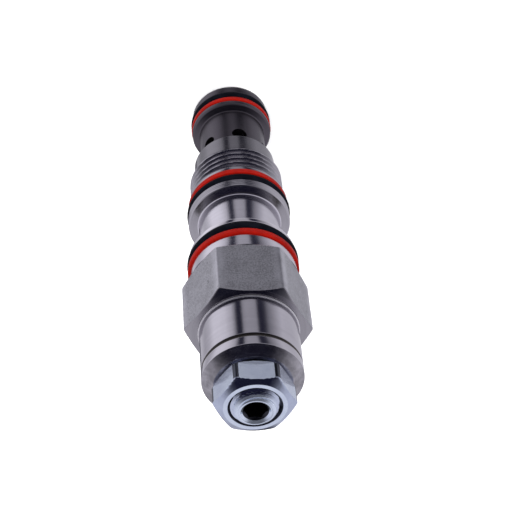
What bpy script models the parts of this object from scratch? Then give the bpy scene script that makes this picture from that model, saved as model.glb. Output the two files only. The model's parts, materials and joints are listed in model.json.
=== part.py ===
"""Screw-in counterbalance cartridge valve with an adjusting screw.

The valve's axis is Z. The nose points down, the adjuster points up, and the
origin is on the axis at the hexagon's nose-side face. Sizes are in millimetres
and are turned into metres where a mesh is made.
"""
import math

import bpy

MM = 0.001

# ---- fits -----------------------------------------------------------------
SEAT_GAP = 0.3        # between faces that rest on each other
FIT = 0.05            # radial clearance of a piece in its bore
RING_GAP = 0.1        # a ring's clearance to the sides and the root of its groove

# ---- outside of the body, from the hexagon down to the lead collar ----------
HEX_AF = 22.2
HEX_LENGTH = 13.5
HEX_CHAMFER = 0.9
HEX_FACE_MARGIN = 0.1
COLLAR_R = 11.0
COLLAR_LENGTH = 3.3
UPPER_SEAL_R = 11.45
UPPER_SECTION = 2.3
UPPER_BACKUP = 1.5
UPPER_LAND_LENGTH = 1.2
WAIST_R = 8.6
WAIST_LENGTH = 10.3
MIDDLE_LAND_R = 10.75
MIDDLE_LAND_LENGTH = 2.1
MIDDLE_SEAL_R = 10.95
MIDDLE_SECTION = 2.4
MIDDLE_BACKUP = 1.5
MIDDLE_RIM_R = 10.3
MIDDLE_RIM_LENGTH = 0.9
THREAD_R = 10.0
THREAD_LENGTH = 7.0
THREAD_CHAMFER = 0.6
THREAD_RELIEF_R = 9.0
THREAD_RELIEF_LENGTH = 0.6
LEAD_R = 8.8
LEAD_LENGTH = 5.5
EDGE = 0.3            # small turned chamfers

# ---- nose sleeve --------------------------------------------------------------
SLEEVE_R = 7.25
SLEEVE_LENGTH = 11.1
NOSE_LAND_R = 8.85
NOSE_LAND_LENGTH = 1.8
NOSE_SEAL_R = 9.0
NOSE_SECTION = 2.4
NOSE_BACKUP = 1.3
NOSE_END_R = 8.5
NOSE_END_LENGTH = 2.3
SIDE_HOLE_R = 1.75
SIDE_HOLE_COUNT = 6
SIDE_HOLE_DROP = 2.75         # hole centre below the lead collar's end
SIDE_HOLE_TURN = -7.5         # degrees from -Y, towards -X
SLEEVE_INSERT = 12.5          # length of sleeve held inside the body

# ---- check valve in the nose ----------------------------------------------------
CHECK_R = 5.35
CHECK_LENGTH = 4.5
CHECK_HOLE_R = 3.2
CHECK_SHOULDER = 1.0          # step that stops the seat ring
CHECK_SHOULDER_DROP = 1.3     # below the side holes' lower edge
CHECK_TRAVEL = 1.5
CHECK_WIRE = 0.7
CHECK_TURNS = 3.4
CHECK_SPRING_R = 4.4
CHECK_SPRING_LENGTH = 4.4
RETAINER_HEIGHT = 1.2
SNAP_HEIGHT = 0.8
SNAP_DEPTH = 0.5
SNAP_WIDTH = 1.5
SNAP_MOUTH = 3.0              # opening between the snap ring's ends

# ---- relief poppet, stem guide and pilot piston -----------------------------------
STEM_R = 2.8
NECK_R = 2.2
POPPET_HEAD_R = 3.9
POPPET_HEAD_LENGTH = 1.0
POPPET_TIP_R = 2.4
TANG_R = 2.0                  # stem end that carries the pilot piston
STEM_SECTION = 1.3
STEM_BACKUP = 0.9
STEM_SEAL_FROM_TOP = 3.0
GUIDE_WALL = 0.85
GUIDE_LENGTH = 9.4
PILOT_BORE_R = 6.2
PILOT_LENGTH = 7.0
PILOT_SECTION = 1.5
PILOT_BACKUP = 1.0
PILOT_SEAL_FROM_TOP = 1.9
PILOT_PORT_R = 1.1
PILOT_PORT_COUNT = 2
PILOT_PORT_DROP = 7.9         # port centre below the upper land
PILOT_PORT_COVER = 1.0        # pilot piston's lower face above the port's edge
RELIEF_TRAVEL = 1.5

# ---- main spring and its seats -----------------------------------------------------
CHAMBER_R = 7.3
SPRING_R = 5.0
SPRING_WIRE = 2.2
SPRING_TURNS = 6.2
SPRING_LENGTH = 19.1
SPRING_BOSS_CLEARANCE = 0.5
SEAT_FLANGE = 1.5
BOSS_LENGTH = 2.4
LOWER_SEAT_R = 5.95
CARRIER_LENGTH = 5.0
CARRIER_SECTION = 1.5
CARRIER_BACKUP = 1.0
CARRIER_SEAL_FROM_TOP = 1.0

# ---- cap, adjusting screw and lock nut -----------------------------------------------
CAP_R = 9.82
CAP_LENGTH = 14.2             # from the hexagon's outer face to the cap's face
CAP_FACE_R = 8.6
CAP_CHAMFER_LENGTH = 1.2
CAP_GROOVE_FROM_FACE = 3.65
CAP_GROOVE_WIDTH = 0.9
CAP_GROOVE_DEPTH = 0.5
CAP_SPIGOT_R = 8.55
CAP_SPIGOT_LENGTH = 8.2
CAP_BORE_R = 6.6
CAP_ROOF = 3.2
CAP_SECTION = 1.4
CAP_SEAL_FROM_END = 2.0
SCREW_R = 4.75
SCREW_FACE_R = 3.9
SCREW_PROUD = 7.2             # screw end above the cap's face
SCREW_COUNTERSINK_R = 2.95
SCREW_COUNTERSINK_DEPTH = 1.5
SCREW_FOOT_R = 3.6
SCREW_FOOT_LENGTH = 1.4
SOCKET_AF = 4.0
SOCKET_DEPTH = 5.0
NUT_AF = 14.0
NUT_HEIGHT = 5.5
NUT_CHAMFER = 0.7
NUT_COUNTERSINK = 0.35

# ---- facets -------------------------------------------------------------------
OUTER_SEGMENTS = 36
INNER_SEGMENTS = 24
NUT_SEGMENTS = 32             # no facet edge lies on a slanting corner of the nut
HOLE_SEGMENTS = 12
RING_SIDES = 6
COIL_POINTS = 12              # points on each turn of a spring

# ---- heights that follow from the sizes above ---------------------------------
HEX_TOP = HEX_LENGTH
COLLAR_END = -COLLAR_LENGTH


def groove_length(section, backup):
    """Axial length of a groove for one O-ring and one backup ring."""
    return section + backup + 3 * RING_GAP


UPPER_GROOVE_END = COLLAR_END - groove_length(UPPER_SECTION, UPPER_BACKUP)
UPPER_LAND_END = UPPER_GROOVE_END - UPPER_LAND_LENGTH
WAIST_END = UPPER_LAND_END - WAIST_LENGTH
MIDDLE_LAND_END = WAIST_END - MIDDLE_LAND_LENGTH
MIDDLE_GROOVE_END = MIDDLE_LAND_END - groove_length(MIDDLE_SECTION, MIDDLE_BACKUP)
MIDDLE_RIM_END = MIDDLE_GROOVE_END - MIDDLE_RIM_LENGTH
THREAD_TOP = MIDDLE_RIM_END - THREAD_RELIEF_LENGTH
THREAD_END = THREAD_TOP - THREAD_LENGTH
BODY_END = THREAD_END - LEAD_LENGTH

SLEEVE_TOP = BODY_END + SLEEVE_INSERT
SLEEVE_SHOULDER = SLEEVE_TOP + SEAT_GAP
SLEEVE_END = BODY_END - SLEEVE_LENGTH
NOSE_LAND_END = SLEEVE_END - NOSE_LAND_LENGTH
NOSE_GROOVE_END = NOSE_LAND_END - groove_length(NOSE_SECTION, NOSE_BACKUP)
NOSE_END = NOSE_GROOVE_END - NOSE_END_LENGTH
SIDE_HOLE_Z = BODY_END - SIDE_HOLE_DROP

CHECK_BORE_R = CHECK_R + FIT
CHECK_STOP = SIDE_HOLE_Z - SIDE_HOLE_R - CHECK_SHOULDER_DROP
CHECK_TOP = CHECK_STOP - SEAT_GAP
CHECK_BOTTOM = CHECK_TOP - CHECK_LENGTH
CHECK_SPRING_TOP = CHECK_BOTTOM - SEAT_GAP
CHECK_SPRING_BOTTOM = CHECK_SPRING_TOP - CHECK_SPRING_LENGTH
RETAINER_TOP = CHECK_SPRING_BOTTOM - SEAT_GAP
RETAINER_BOTTOM = RETAINER_TOP - RETAINER_HEIGHT
SNAP_TOP = RETAINER_BOTTOM - SEAT_GAP
SNAP_BOTTOM = SNAP_TOP - SNAP_HEIGHT

GUIDE_BORE_R = STEM_R + FIT
GUIDE_GROOVE_R = GUIDE_BORE_R + STEM_SECTION + RING_GAP
GUIDE_R = GUIDE_GROOVE_R + GUIDE_WALL
GUIDE_TOP = SLEEVE_TOP
GUIDE_BOTTOM = GUIDE_TOP - GUIDE_LENGTH
GUIDE_SHOULDER = GUIDE_BOTTOM - SEAT_GAP

PILOT_PORT_Z = UPPER_LAND_END - PILOT_PORT_DROP
PILOT_BOTTOM = PILOT_PORT_Z + PILOT_PORT_R + PILOT_PORT_COVER
PILOT_TOP = PILOT_BOTTOM + PILOT_LENGTH
PILOT_R = PILOT_BORE_R - FIT
PILOT_BORE_TOP = PILOT_TOP + SEAT_FLANGE

LOWER_SEAT_BOTTOM = PILOT_TOP + SEAT_GAP
LOWER_SEAT_TOP = LOWER_SEAT_BOTTOM + SEAT_FLANGE
SPRING_BOTTOM = LOWER_SEAT_TOP + SEAT_GAP
SPRING_TOP = SPRING_BOTTOM + SPRING_LENGTH
BOSS_R = SPRING_R - SPRING_WIRE / 2 - SPRING_BOSS_CLEARANCE
CARRIER_BOTTOM = SPRING_TOP + SEAT_GAP
CARRIER_TOP = CARRIER_BOTTOM + CARRIER_LENGTH
CARRIER_R = CAP_BORE_R - FIT

CAP_SHOULDER = HEX_TOP + SEAT_GAP
CAP_FACE = HEX_TOP + CAP_LENGTH
CAP_SPIGOT_END = HEX_TOP - CAP_SPIGOT_LENGTH
CAP_SEAT = CAP_SPIGOT_END - SEAT_GAP
CAP_ROOF_Z = CAP_FACE - CAP_ROOF
SCREW_END = CAP_FACE + SCREW_PROUD
SCREW_FOOT_Z = CARRIER_TOP + SEAT_GAP
NUT_BOTTOM = CAP_FACE + SEAT_GAP
NUT_TOP = NUT_BOTTOM + NUT_HEIGHT


def turning_bore(shaft_r):
    """Radius of a faceted bore in which a shaft can turn with FIT all round."""
    return (shaft_r + FIT) / math.cos(math.pi / INNER_SEGMENTS)


def corner_r(across_flats):
    return across_flats / math.sqrt(3)


SCREW_BORE_R = turning_bore(SCREW_R)

# ---- scene --------------------------------------------------------------------


def clear_scene():
    for found in list(bpy.data.objects):
        bpy.data.objects.remove(found, do_unlink=True)


def new_collection(name):
    made = bpy.data.collections.new(name)
    bpy.context.scene.collection.children.link(made)
    return made


clear_scene()
VALVE = new_collection("cartridge_valve")
CUTTERS = new_collection("cutters")


def material(name, colour, roughness, metallic):
    made = bpy.data.materials.new(name)
    made.use_nodes = True
    shader = made.node_tree.nodes["Principled BSDF"]
    shader.inputs["Base Color"].default_value = (*colour, 1.0)
    shader.inputs["Roughness"].default_value = roughness
    shader.inputs["Metallic"].default_value = metallic
    return made


def machined_steel(name):
    return material(name, (0.42, 0.42, 0.46), 0.32, 1.0)


def zinc_plate(name):
    return material(name, (0.62, 0.67, 0.76), 0.25, 1.0)


def dark_steel(name):
    return material(name, (0.16, 0.15, 0.17), 0.38, 1.0)


def black_rubber(name):
    return material(name, (0.012, 0.012, 0.014), 0.45, 0.0)


def red_backup(name):
    return material(name, (0.45, 0.02, 0.01), 0.4, 0.0)


def spring_steel(name):
    return material(name, (0.3, 0.31, 0.33), 0.3, 1.0)


# ---- shapes -------------------------------------------------------------------


def joint_axis(name, height):
    """Empty on the valve's axis that carries the pieces of one moving body."""
    made = bpy.data.objects.new(name, None)
    made.empty_display_size = 5 * MM
    made.location.z = height * MM
    VALVE.objects.link(made)
    return made


def place(made, height, carrier=None):
    """Put a piece's own origin at a height on the valve's axis."""
    made.parent = carrier
    made.location.z = height * MM - (carrier.location.z if carrier else 0.0)


def turned(name, outline, height=0.0, carrier=None, finish=None, segments=OUTER_SEGMENTS,
           closed=False):
    """Turn an outline of (radius, height) points about Z.

    The outline runs down the outer side. An open one starts and ends on the
    axis, and a closed one comes back up the bore.
    """
    mesh = bpy.data.meshes.new(name)
    points = [(r * MM, 0.0, z * MM) for r, z in outline]
    edges = [(i, i + 1) for i in range(len(points) - 1)]
    if closed:
        edges.append((len(points) - 1, 0))
    mesh.from_pydata(points, edges, [])
    made = bpy.data.objects.new(name, mesh)
    screw = made.modifiers.new("turn", "SCREW")
    screw.axis = "Z"
    screw.angle = math.tau
    screw.steps = segments
    screw.render_steps = segments
    screw.use_merge_vertices = True
    screw.merge_threshold = 0.00001
    screw.use_smooth_shade = False
    (VALVE if finish else CUTTERS).objects.link(made)
    if finish:
        mesh.materials.append(finish(name))
    else:
        made.hide_render = True
        made.display_type = "WIRE"
    place(made, height, carrier)
    return made


def ring(name, inner_r, outer_r, thickness, height, **how):
    """Flat ring whose underside is at the given height."""
    outline = [(outer_r, thickness), (outer_r, 0), (inner_r, 0), (inner_r, thickness)]
    return turned(name, outline, height, closed=True, **how)


def o_ring(name, outer_r, section, bottom, carrier=None, segments=INNER_SEGMENTS):
    """O-ring with a round section, lying on the given height."""
    half = section / 2
    outline = []
    for step in range(RING_SIDES):
        angle = math.tau * (0.5 + step) / RING_SIDES
        radius = outer_r - half + half * math.sin(angle)
        outline.append((radius, half + half * math.cos(angle)))
    return turned(name, outline, bottom, carrier, black_rubber, segments, closed=True)


def cut(target, cutter):
    step = target.modifiers.new(cutter.name, "BOOLEAN")
    step.operation = "DIFFERENCE"
    step.solver = "EXACT"
    step.object = cutter


def hex_outside(target, across_flats, low, high, height=0.0, carrier=None):
    """Cut six flats on a turned piece, with corners on +X and -X."""
    corner = corner_r(across_flats)
    far = 2 * corner
    outline = [(far, high), (far, low), (corner, low), (corner, high)]
    cutter = turned(target.name + "_flats", outline, height, carrier, segments=6, closed=True)
    cut(target, cutter)


def hex_inside(target, across_flats, low, high, height=0.0, carrier=None):
    """Cut a hexagon socket along the axis, with corners on +X and -X."""
    corner = corner_r(across_flats)
    outline = [(0, high), (corner, high), (corner, low), (0, low)]
    cut(target, turned(target.name + "_socket", outline, height, carrier, segments=6))


def radial_holes(target, hole_r, count, height, first_turn, from_r, to_r):
    """Drill holes from outside towards the axis, evenly round it."""
    for number in range(count):
        angle = math.radians(first_turn) + math.tau * number / count
        middle = (from_r + to_r) / 2 * MM
        bpy.ops.mesh.primitive_cylinder_add(
            vertices=HOLE_SEGMENTS, radius=hole_r * MM, depth=(to_r - from_r) * MM,
            location=(middle * math.cos(angle), middle * math.sin(angle), height * MM),
            rotation=(0, math.pi / 2, angle))
        cutter = bpy.context.object
        cutter.name = f"{target.name}_hole_{number + 1}"
        cutter.hide_render = True
        cutter.display_type = "WIRE"
        for found in list(cutter.users_collection):
            found.objects.unlink(cutter)
        CUTTERS.objects.link(cutter)
        cut(target, cutter)


def coil(name, mean_r, wire, turns, length, bottom, carrier=None):
    """Compression spring with a closed turn at each end, standing on bottom."""
    rise = length - wire
    end_rise = wire * 1.12
    count = round(turns * COIL_POINTS)
    curve = bpy.data.curves.new(name, "CURVE")
    curve.dimensions = "3D"
    curve.bevel_depth = wire / 2 * MM
    curve.bevel_resolution = 2
    curve.use_fill_caps = True
    spline = curve.splines.new("POLY")
    spline.points.add(count)
    for number in range(count + 1):
        turn = turns * number / count
        if turn <= 1:
            height = end_rise * turn
        elif turn >= turns - 1:
            height = rise - end_rise * (turns - turn)
        else:
            height = end_rise + (rise - 2 * end_rise) * (turn - 1) / (turns - 2)
        angle = math.tau * turn
        spline.points[number].co = (mean_r * MM * math.cos(angle), mean_r * MM * math.sin(angle),
                                    (wire / 2 + height) * MM, 1.0)
    made = bpy.data.objects.new(name, curve)
    curve.materials.append(spring_steel(name))
    VALVE.objects.link(made)
    place(made, bottom, carrier)
    return made


# ---- the body and its outside seals ----------------------------------------------


def hex_body():
    corner = corner_r(HEX_AF) + HEX_FACE_MARGIN
    face = HEX_AF / 2 + HEX_FACE_MARGIN
    upper_root = UPPER_SEAL_R - UPPER_SECTION - RING_GAP
    middle_root = MIDDLE_SEAL_R - MIDDLE_SECTION - RING_GAP
    outline = [
        (face, HEX_TOP),
        (corner, HEX_TOP - HEX_CHAMFER),
        (corner, HEX_CHAMFER),
        (face, 0),
        (COLLAR_R, 0),
        (COLLAR_R, COLLAR_END),
        (upper_root, COLLAR_END),
        (upper_root, UPPER_GROOVE_END),
        (COLLAR_R, UPPER_GROOVE_END),
        (COLLAR_R, UPPER_LAND_END + EDGE),
        (COLLAR_R - EDGE, UPPER_LAND_END),
        (WAIST_R, UPPER_LAND_END),
        (WAIST_R, WAIST_END),
        (MIDDLE_LAND_R - EDGE, WAIST_END),
        (MIDDLE_LAND_R, WAIST_END - EDGE),
        (MIDDLE_LAND_R, MIDDLE_LAND_END),
        (middle_root, MIDDLE_LAND_END),
        (middle_root, MIDDLE_GROOVE_END),
        (MIDDLE_RIM_R, MIDDLE_GROOVE_END),
        (MIDDLE_RIM_R, MIDDLE_RIM_END),
        (THREAD_RELIEF_R, MIDDLE_RIM_END),
        (THREAD_RELIEF_R, THREAD_TOP),
        (THREAD_R, THREAD_TOP - THREAD_CHAMFER),
        (THREAD_R, THREAD_END + THREAD_CHAMFER),
        (LEAD_R, THREAD_END),
        (LEAD_R, BODY_END + EDGE),
        (LEAD_R - EDGE, BODY_END),
        (SLEEVE_R + FIT, BODY_END),
        (SLEEVE_R + FIT, SLEEVE_SHOULDER),
        (PILOT_BORE_R, SLEEVE_SHOULDER),
        (PILOT_BORE_R, PILOT_BORE_TOP),
        (CHAMBER_R, PILOT_BORE_TOP),
        (CHAMBER_R, CAP_SEAT),
        (CAP_SPIGOT_R + FIT, CAP_SEAT),
        (CAP_SPIGOT_R + FIT, HEX_TOP),
    ]
    body = turned("hex_body", outline, closed=True, finish=machined_steel)
    hex_outside(body, HEX_AF, -RING_GAP, HEX_TOP + RING_GAP)
    radial_holes(body, PILOT_PORT_R, PILOT_PORT_COUNT, PILOT_PORT_Z, 0,
                 PILOT_BORE_R - 1, WAIST_R + 1)


def seal_pair(prefix, outer_r, backup_r, section, backup, groove_top, backup_on_top, carrier=None,
              segments=OUTER_SEGMENTS):
    """One O-ring and one backup ring that share an outside groove."""
    inner_r = outer_r - section
    if backup_on_top:
        backup_bottom = groove_top - RING_GAP - backup
        ring_bottom = backup_bottom - RING_GAP - section
    else:
        ring_bottom = groove_top - RING_GAP - section
        backup_bottom = ring_bottom - RING_GAP - backup
    ring(prefix + "_backup_ring", inner_r, backup_r, backup, backup_bottom,
         finish=red_backup, segments=segments, carrier=carrier)
    o_ring(prefix + "_o_ring", outer_r, section, ring_bottom, carrier, segments)


def outside_seals():
    seal_pair("upper", UPPER_SEAL_R, UPPER_SEAL_R - 0.05, UPPER_SECTION, UPPER_BACKUP,
              COLLAR_END, True)
    seal_pair("middle", MIDDLE_SEAL_R, MIDDLE_SEAL_R - 0.3, MIDDLE_SECTION, MIDDLE_BACKUP,
              MIDDLE_LAND_END, False)
    seal_pair("nose", NOSE_SEAL_R, NOSE_SEAL_R, NOSE_SECTION, NOSE_BACKUP,
              NOSE_LAND_END, True)


# ---- nose sleeve and the check valve in it -----------------------------------------


def nose_sleeve():
    root = NOSE_SEAL_R - NOSE_SECTION - RING_GAP
    throat = CHECK_BORE_R - CHECK_SHOULDER
    snap_r = CHECK_BORE_R + SNAP_DEPTH
    outline = [
        (SLEEVE_R, SLEEVE_TOP),
        (SLEEVE_R, SLEEVE_END),
        (NOSE_LAND_R, SLEEVE_END),
        (NOSE_LAND_R, NOSE_LAND_END),
        (root, NOSE_LAND_END),
        (root, NOSE_GROOVE_END),
        (NOSE_END_R, NOSE_GROOVE_END),
        (NOSE_END_R, NOSE_END + EDGE),
        (NOSE_END_R - EDGE, NOSE_END),
        (CHECK_BORE_R, NOSE_END),
        (CHECK_BORE_R, SNAP_BOTTOM - RING_GAP),
        (snap_r, SNAP_BOTTOM - RING_GAP),
        (snap_r, SNAP_TOP + RING_GAP),
        (CHECK_BORE_R, SNAP_TOP + RING_GAP),
        (CHECK_BORE_R, CHECK_STOP),
        (throat, CHECK_STOP),
        (throat, GUIDE_SHOULDER),
        (GUIDE_R + FIT, GUIDE_SHOULDER),
        (GUIDE_R + FIT, SLEEVE_TOP),
    ]
    sleeve = turned("nose_sleeve", outline, closed=True, finish=dark_steel)
    radial_holes(sleeve, SIDE_HOLE_R, SIDE_HOLE_COUNT, SIDE_HOLE_Z, -90 + SIDE_HOLE_TURN,
                 throat - 0.4, SLEEVE_R + 1)


def check_valve():
    axis = joint_axis("check_axis", CHECK_TOP)
    seat_chamfer = POPPET_HEAD_R - CHECK_HOLE_R
    outline = [
        (CHECK_R, 0),
        (CHECK_R, -CHECK_LENGTH),
        (CHECK_HOLE_R, -CHECK_LENGTH),
        (CHECK_HOLE_R, -seat_chamfer),
        (POPPET_HEAD_R, 0),
    ]
    turned("check_seat", outline, CHECK_TOP, axis, machined_steel, INNER_SEGMENTS, closed=True)
    coil("check_spring", CHECK_SPRING_R, CHECK_WIRE, CHECK_TURNS, CHECK_SPRING_LENGTH,
         CHECK_SPRING_BOTTOM, axis)
    ring("check_spring_retainer", CHECK_HOLE_R, CHECK_R, RETAINER_HEIGHT, RETAINER_BOTTOM,
         finish=machined_steel, segments=INNER_SEGMENTS)
    snap = ring("nose_snap_ring", CHECK_BORE_R + SNAP_DEPTH - RING_GAP - SNAP_WIDTH,
                CHECK_BORE_R + SNAP_DEPTH - RING_GAP, SNAP_HEIGHT, SNAP_BOTTOM,
                finish=spring_steel, segments=INNER_SEGMENTS)
    bpy.ops.mesh.primitive_cube_add(size=1, location=(0, CHECK_BORE_R * MM, SNAP_BOTTOM * MM))
    mouth = bpy.context.object
    mouth.name = "snap_ring_mouth"
    mouth.scale = (SNAP_MOUTH * MM, 3 * SNAP_WIDTH * MM, 4 * SNAP_HEIGHT * MM)
    mouth.hide_render = True
    mouth.display_type = "WIRE"
    for found in list(mouth.users_collection):
        found.objects.unlink(mouth)
    CUTTERS.objects.link(mouth)
    cut(snap, mouth)


# ---- relief poppet, pilot piston and what they run in -----------------------------------


def stem_guide():
    groove_top = -STEM_SEAL_FROM_TOP
    groove_end = groove_top - groove_length(STEM_SECTION, STEM_BACKUP)
    outline = [
        (GUIDE_R, 0),
        (GUIDE_R, -GUIDE_LENGTH),
        (GUIDE_BORE_R, -GUIDE_LENGTH),
        (GUIDE_BORE_R, groove_end),
        (GUIDE_GROOVE_R, groove_end),
        (GUIDE_GROOVE_R, groove_top),
        (GUIDE_BORE_R, groove_top),
        (GUIDE_BORE_R, 0),
    ]
    turned("stem_guide", outline, GUIDE_TOP, None, machined_steel, INNER_SEGMENTS, closed=True)
    backup_bottom = GUIDE_TOP + groove_top - RING_GAP - STEM_BACKUP
    ring("stem_backup_ring", GUIDE_BORE_R, GUIDE_GROOVE_R - RING_GAP, STEM_BACKUP, backup_bottom,
         finish=red_backup, segments=INNER_SEGMENTS)
    o_ring("stem_seal", GUIDE_BORE_R + STEM_SECTION, STEM_SECTION,
           backup_bottom - RING_GAP - STEM_SECTION)


def relief_piston():
    axis = joint_axis("relief_axis", CHECK_TOP)
    cone = POPPET_HEAD_R - POPPET_TIP_R
    head = SEAT_GAP * math.sqrt(2)
    tip = CHECK_TOP + head - cone
    head_top = CHECK_TOP + head + POPPET_HEAD_LENGTH
    outline = [
        (0, PILOT_TOP - EDGE),
        (TANG_R, PILOT_TOP - EDGE),
        (TANG_R, PILOT_BOTTOM - SEAT_GAP),
        (STEM_R, PILOT_BOTTOM - SEAT_GAP),
        (STEM_R, GUIDE_BOTTOM - RELIEF_TRAVEL - EDGE),
        (NECK_R, GUIDE_BOTTOM - RELIEF_TRAVEL - EDGE),
        (NECK_R, head_top),
        (POPPET_HEAD_R, head_top),
        (POPPET_HEAD_R, CHECK_TOP + head),
        (POPPET_TIP_R, tip),
        (0, tip),
    ]
    local = [(r, z - CHECK_TOP) for r, z in outline]
    turned("relief_poppet", local, CHECK_TOP, axis, machined_steel, INNER_SEGMENTS)

    root = PILOT_BORE_R - FIT - PILOT_SECTION - RING_GAP
    groove_top = PILOT_TOP - PILOT_SEAL_FROM_TOP
    groove_end = groove_top - groove_length(PILOT_SECTION, PILOT_BACKUP)
    outline = [
        (PILOT_R, PILOT_TOP),
        (PILOT_R, groove_top),
        (root, groove_top),
        (root, groove_end),
        (PILOT_R, groove_end),
        (PILOT_R, PILOT_BOTTOM),
        (TANG_R + FIT, PILOT_BOTTOM),
        (TANG_R + FIT, PILOT_TOP),
    ]
    local = [(r, z - PILOT_BOTTOM) for r, z in outline]
    turned("pilot_piston", local, PILOT_BOTTOM, axis, machined_steel, INNER_SEGMENTS, closed=True)
    seal_pair("pilot", PILOT_R, PILOT_R, PILOT_SECTION, PILOT_BACKUP, groove_top, True, axis,
              INNER_SEGMENTS)

    outline = [
        (0, SEAT_FLANGE + BOSS_LENGTH),
        (BOSS_R - EDGE, SEAT_FLANGE + BOSS_LENGTH),
        (BOSS_R, SEAT_FLANGE + BOSS_LENGTH - EDGE),
        (BOSS_R, SEAT_FLANGE),
        (LOWER_SEAT_R, SEAT_FLANGE),
        (LOWER_SEAT_R, 0),
        (0, 0),
    ]
    turned("lower_spring_seat", outline, LOWER_SEAT_BOTTOM, axis, machined_steel, INNER_SEGMENTS)
    coil("main_spring", SPRING_R, SPRING_WIRE, SPRING_TURNS, SPRING_LENGTH, SPRING_BOTTOM, axis)


# ---- cap, spring carrier, screw and nut ------------------------------------------------


def spring_cap():
    groove_top = CAP_FACE - CAP_GROOVE_FROM_FACE + CAP_GROOVE_WIDTH / 2
    groove_end = groove_top - CAP_GROOVE_WIDTH
    seal_root = CAP_SPIGOT_R - CAP_SECTION - RING_GAP
    seal_end = CAP_SPIGOT_END + CAP_SEAL_FROM_END
    seal_top = seal_end + CAP_SECTION + 2 * RING_GAP
    outline = [
        (CAP_FACE_R, CAP_FACE),
        (CAP_R, CAP_FACE - CAP_CHAMFER_LENGTH),
        (CAP_R, groove_top),
        (CAP_R - CAP_GROOVE_DEPTH, groove_top),
        (CAP_R - CAP_GROOVE_DEPTH, groove_end),
        (CAP_R, groove_end),
        (CAP_R, CAP_SHOULDER),
        (CAP_SPIGOT_R, CAP_SHOULDER),
        (CAP_SPIGOT_R, seal_top),
        (seal_root, seal_top),
        (seal_root, seal_end),
        (CAP_SPIGOT_R, seal_end),
        (CAP_SPIGOT_R, CAP_SPIGOT_END),
        (CAP_BORE_R, CAP_SPIGOT_END),
        (CAP_BORE_R, CAP_ROOF_Z),
        (SCREW_BORE_R, CAP_ROOF_Z),
        (SCREW_BORE_R, CAP_FACE),
    ]
    turned("spring_cap", outline, closed=True, finish=machined_steel)
    o_ring("cap_seal", CAP_SPIGOT_R, CAP_SECTION, seal_end + RING_GAP, segments=OUTER_SEGMENTS)


def spring_carrier():
    axis = joint_axis("spring_carrier_axis", CARRIER_BOTTOM)
    root = CARRIER_R - CARRIER_SECTION - RING_GAP
    groove_top = CARRIER_LENGTH - CARRIER_SEAL_FROM_TOP
    groove_end = groove_top - groove_length(CARRIER_SECTION, CARRIER_BACKUP)
    outline = [
        (0, CARRIER_LENGTH),
        (CARRIER_R, CARRIER_LENGTH),
        (CARRIER_R, groove_top),
        (root, groove_top),
        (root, groove_end),
        (CARRIER_R, groove_end),
        (CARRIER_R, 0),
        (BOSS_R, 0),
        (BOSS_R, -BOSS_LENGTH + EDGE),
        (BOSS_R - EDGE, -BOSS_LENGTH),
        (0, -BOSS_LENGTH),
    ]
    turned("spring_carrier", outline, CARRIER_BOTTOM, axis, machined_steel, INNER_SEGMENTS)
    seal_pair("carrier", CARRIER_R, CARRIER_R, CARRIER_SECTION, CARRIER_BACKUP,
              CARRIER_BOTTOM + groove_top, False, axis, INNER_SEGMENTS)


def adjusting_screw():
    axis = joint_axis("adjusting_screw_axis", SCREW_END)
    length = SCREW_END - SCREW_FOOT_Z
    rim = SCREW_R - SCREW_FACE_R
    outline = [
        (0, -SCREW_COUNTERSINK_DEPTH),
        (SCREW_COUNTERSINK_R, 0),
        (SCREW_FACE_R, 0),
        (SCREW_R, -rim),
        (SCREW_R, -length + SCREW_FOOT_LENGTH),
        (SCREW_FOOT_R, -length + SCREW_FOOT_LENGTH),
        (SCREW_FOOT_R, -length),
        (0, -length),
    ]
    screw = turned("adjusting_screw", outline, SCREW_END, axis, zinc_plate, INNER_SEGMENTS)
    hex_inside(screw, SOCKET_AF, -SOCKET_DEPTH, 1, SCREW_END, axis)


def lock_nut():
    axis = joint_axis("lock_nut_axis", NUT_BOTTOM)
    corner = corner_r(NUT_AF) + HEX_FACE_MARGIN
    face = NUT_AF / 2 + HEX_FACE_MARGIN
    outline = [
        (face, NUT_HEIGHT),
        (corner, NUT_HEIGHT - NUT_CHAMFER),
        (corner, NUT_CHAMFER),
        (face, 0),
        (SCREW_BORE_R + NUT_COUNTERSINK, 0),
        (SCREW_BORE_R, NUT_COUNTERSINK),
        (SCREW_BORE_R, NUT_HEIGHT - NUT_COUNTERSINK),
        (SCREW_BORE_R + NUT_COUNTERSINK, NUT_HEIGHT),
    ]
    nut = turned("lock_nut", outline, NUT_BOTTOM, axis, zinc_plate, NUT_SEGMENTS, closed=True)
    hex_outside(nut, NUT_AF, -RING_GAP, NUT_HEIGHT + RING_GAP, NUT_BOTTOM, axis)


hex_body()
outside_seals()
nose_sleeve()
check_valve()
stem_guide()
relief_piston()
spring_cap()
spring_carrier()
adjusting_screw()
lock_nut()
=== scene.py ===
"""Screw-in cartridge valve: the finished look of every piece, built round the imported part.

The valve's axis is Z, with the nose down and the adjuster up. Lengths are in metres.
"""

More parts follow.
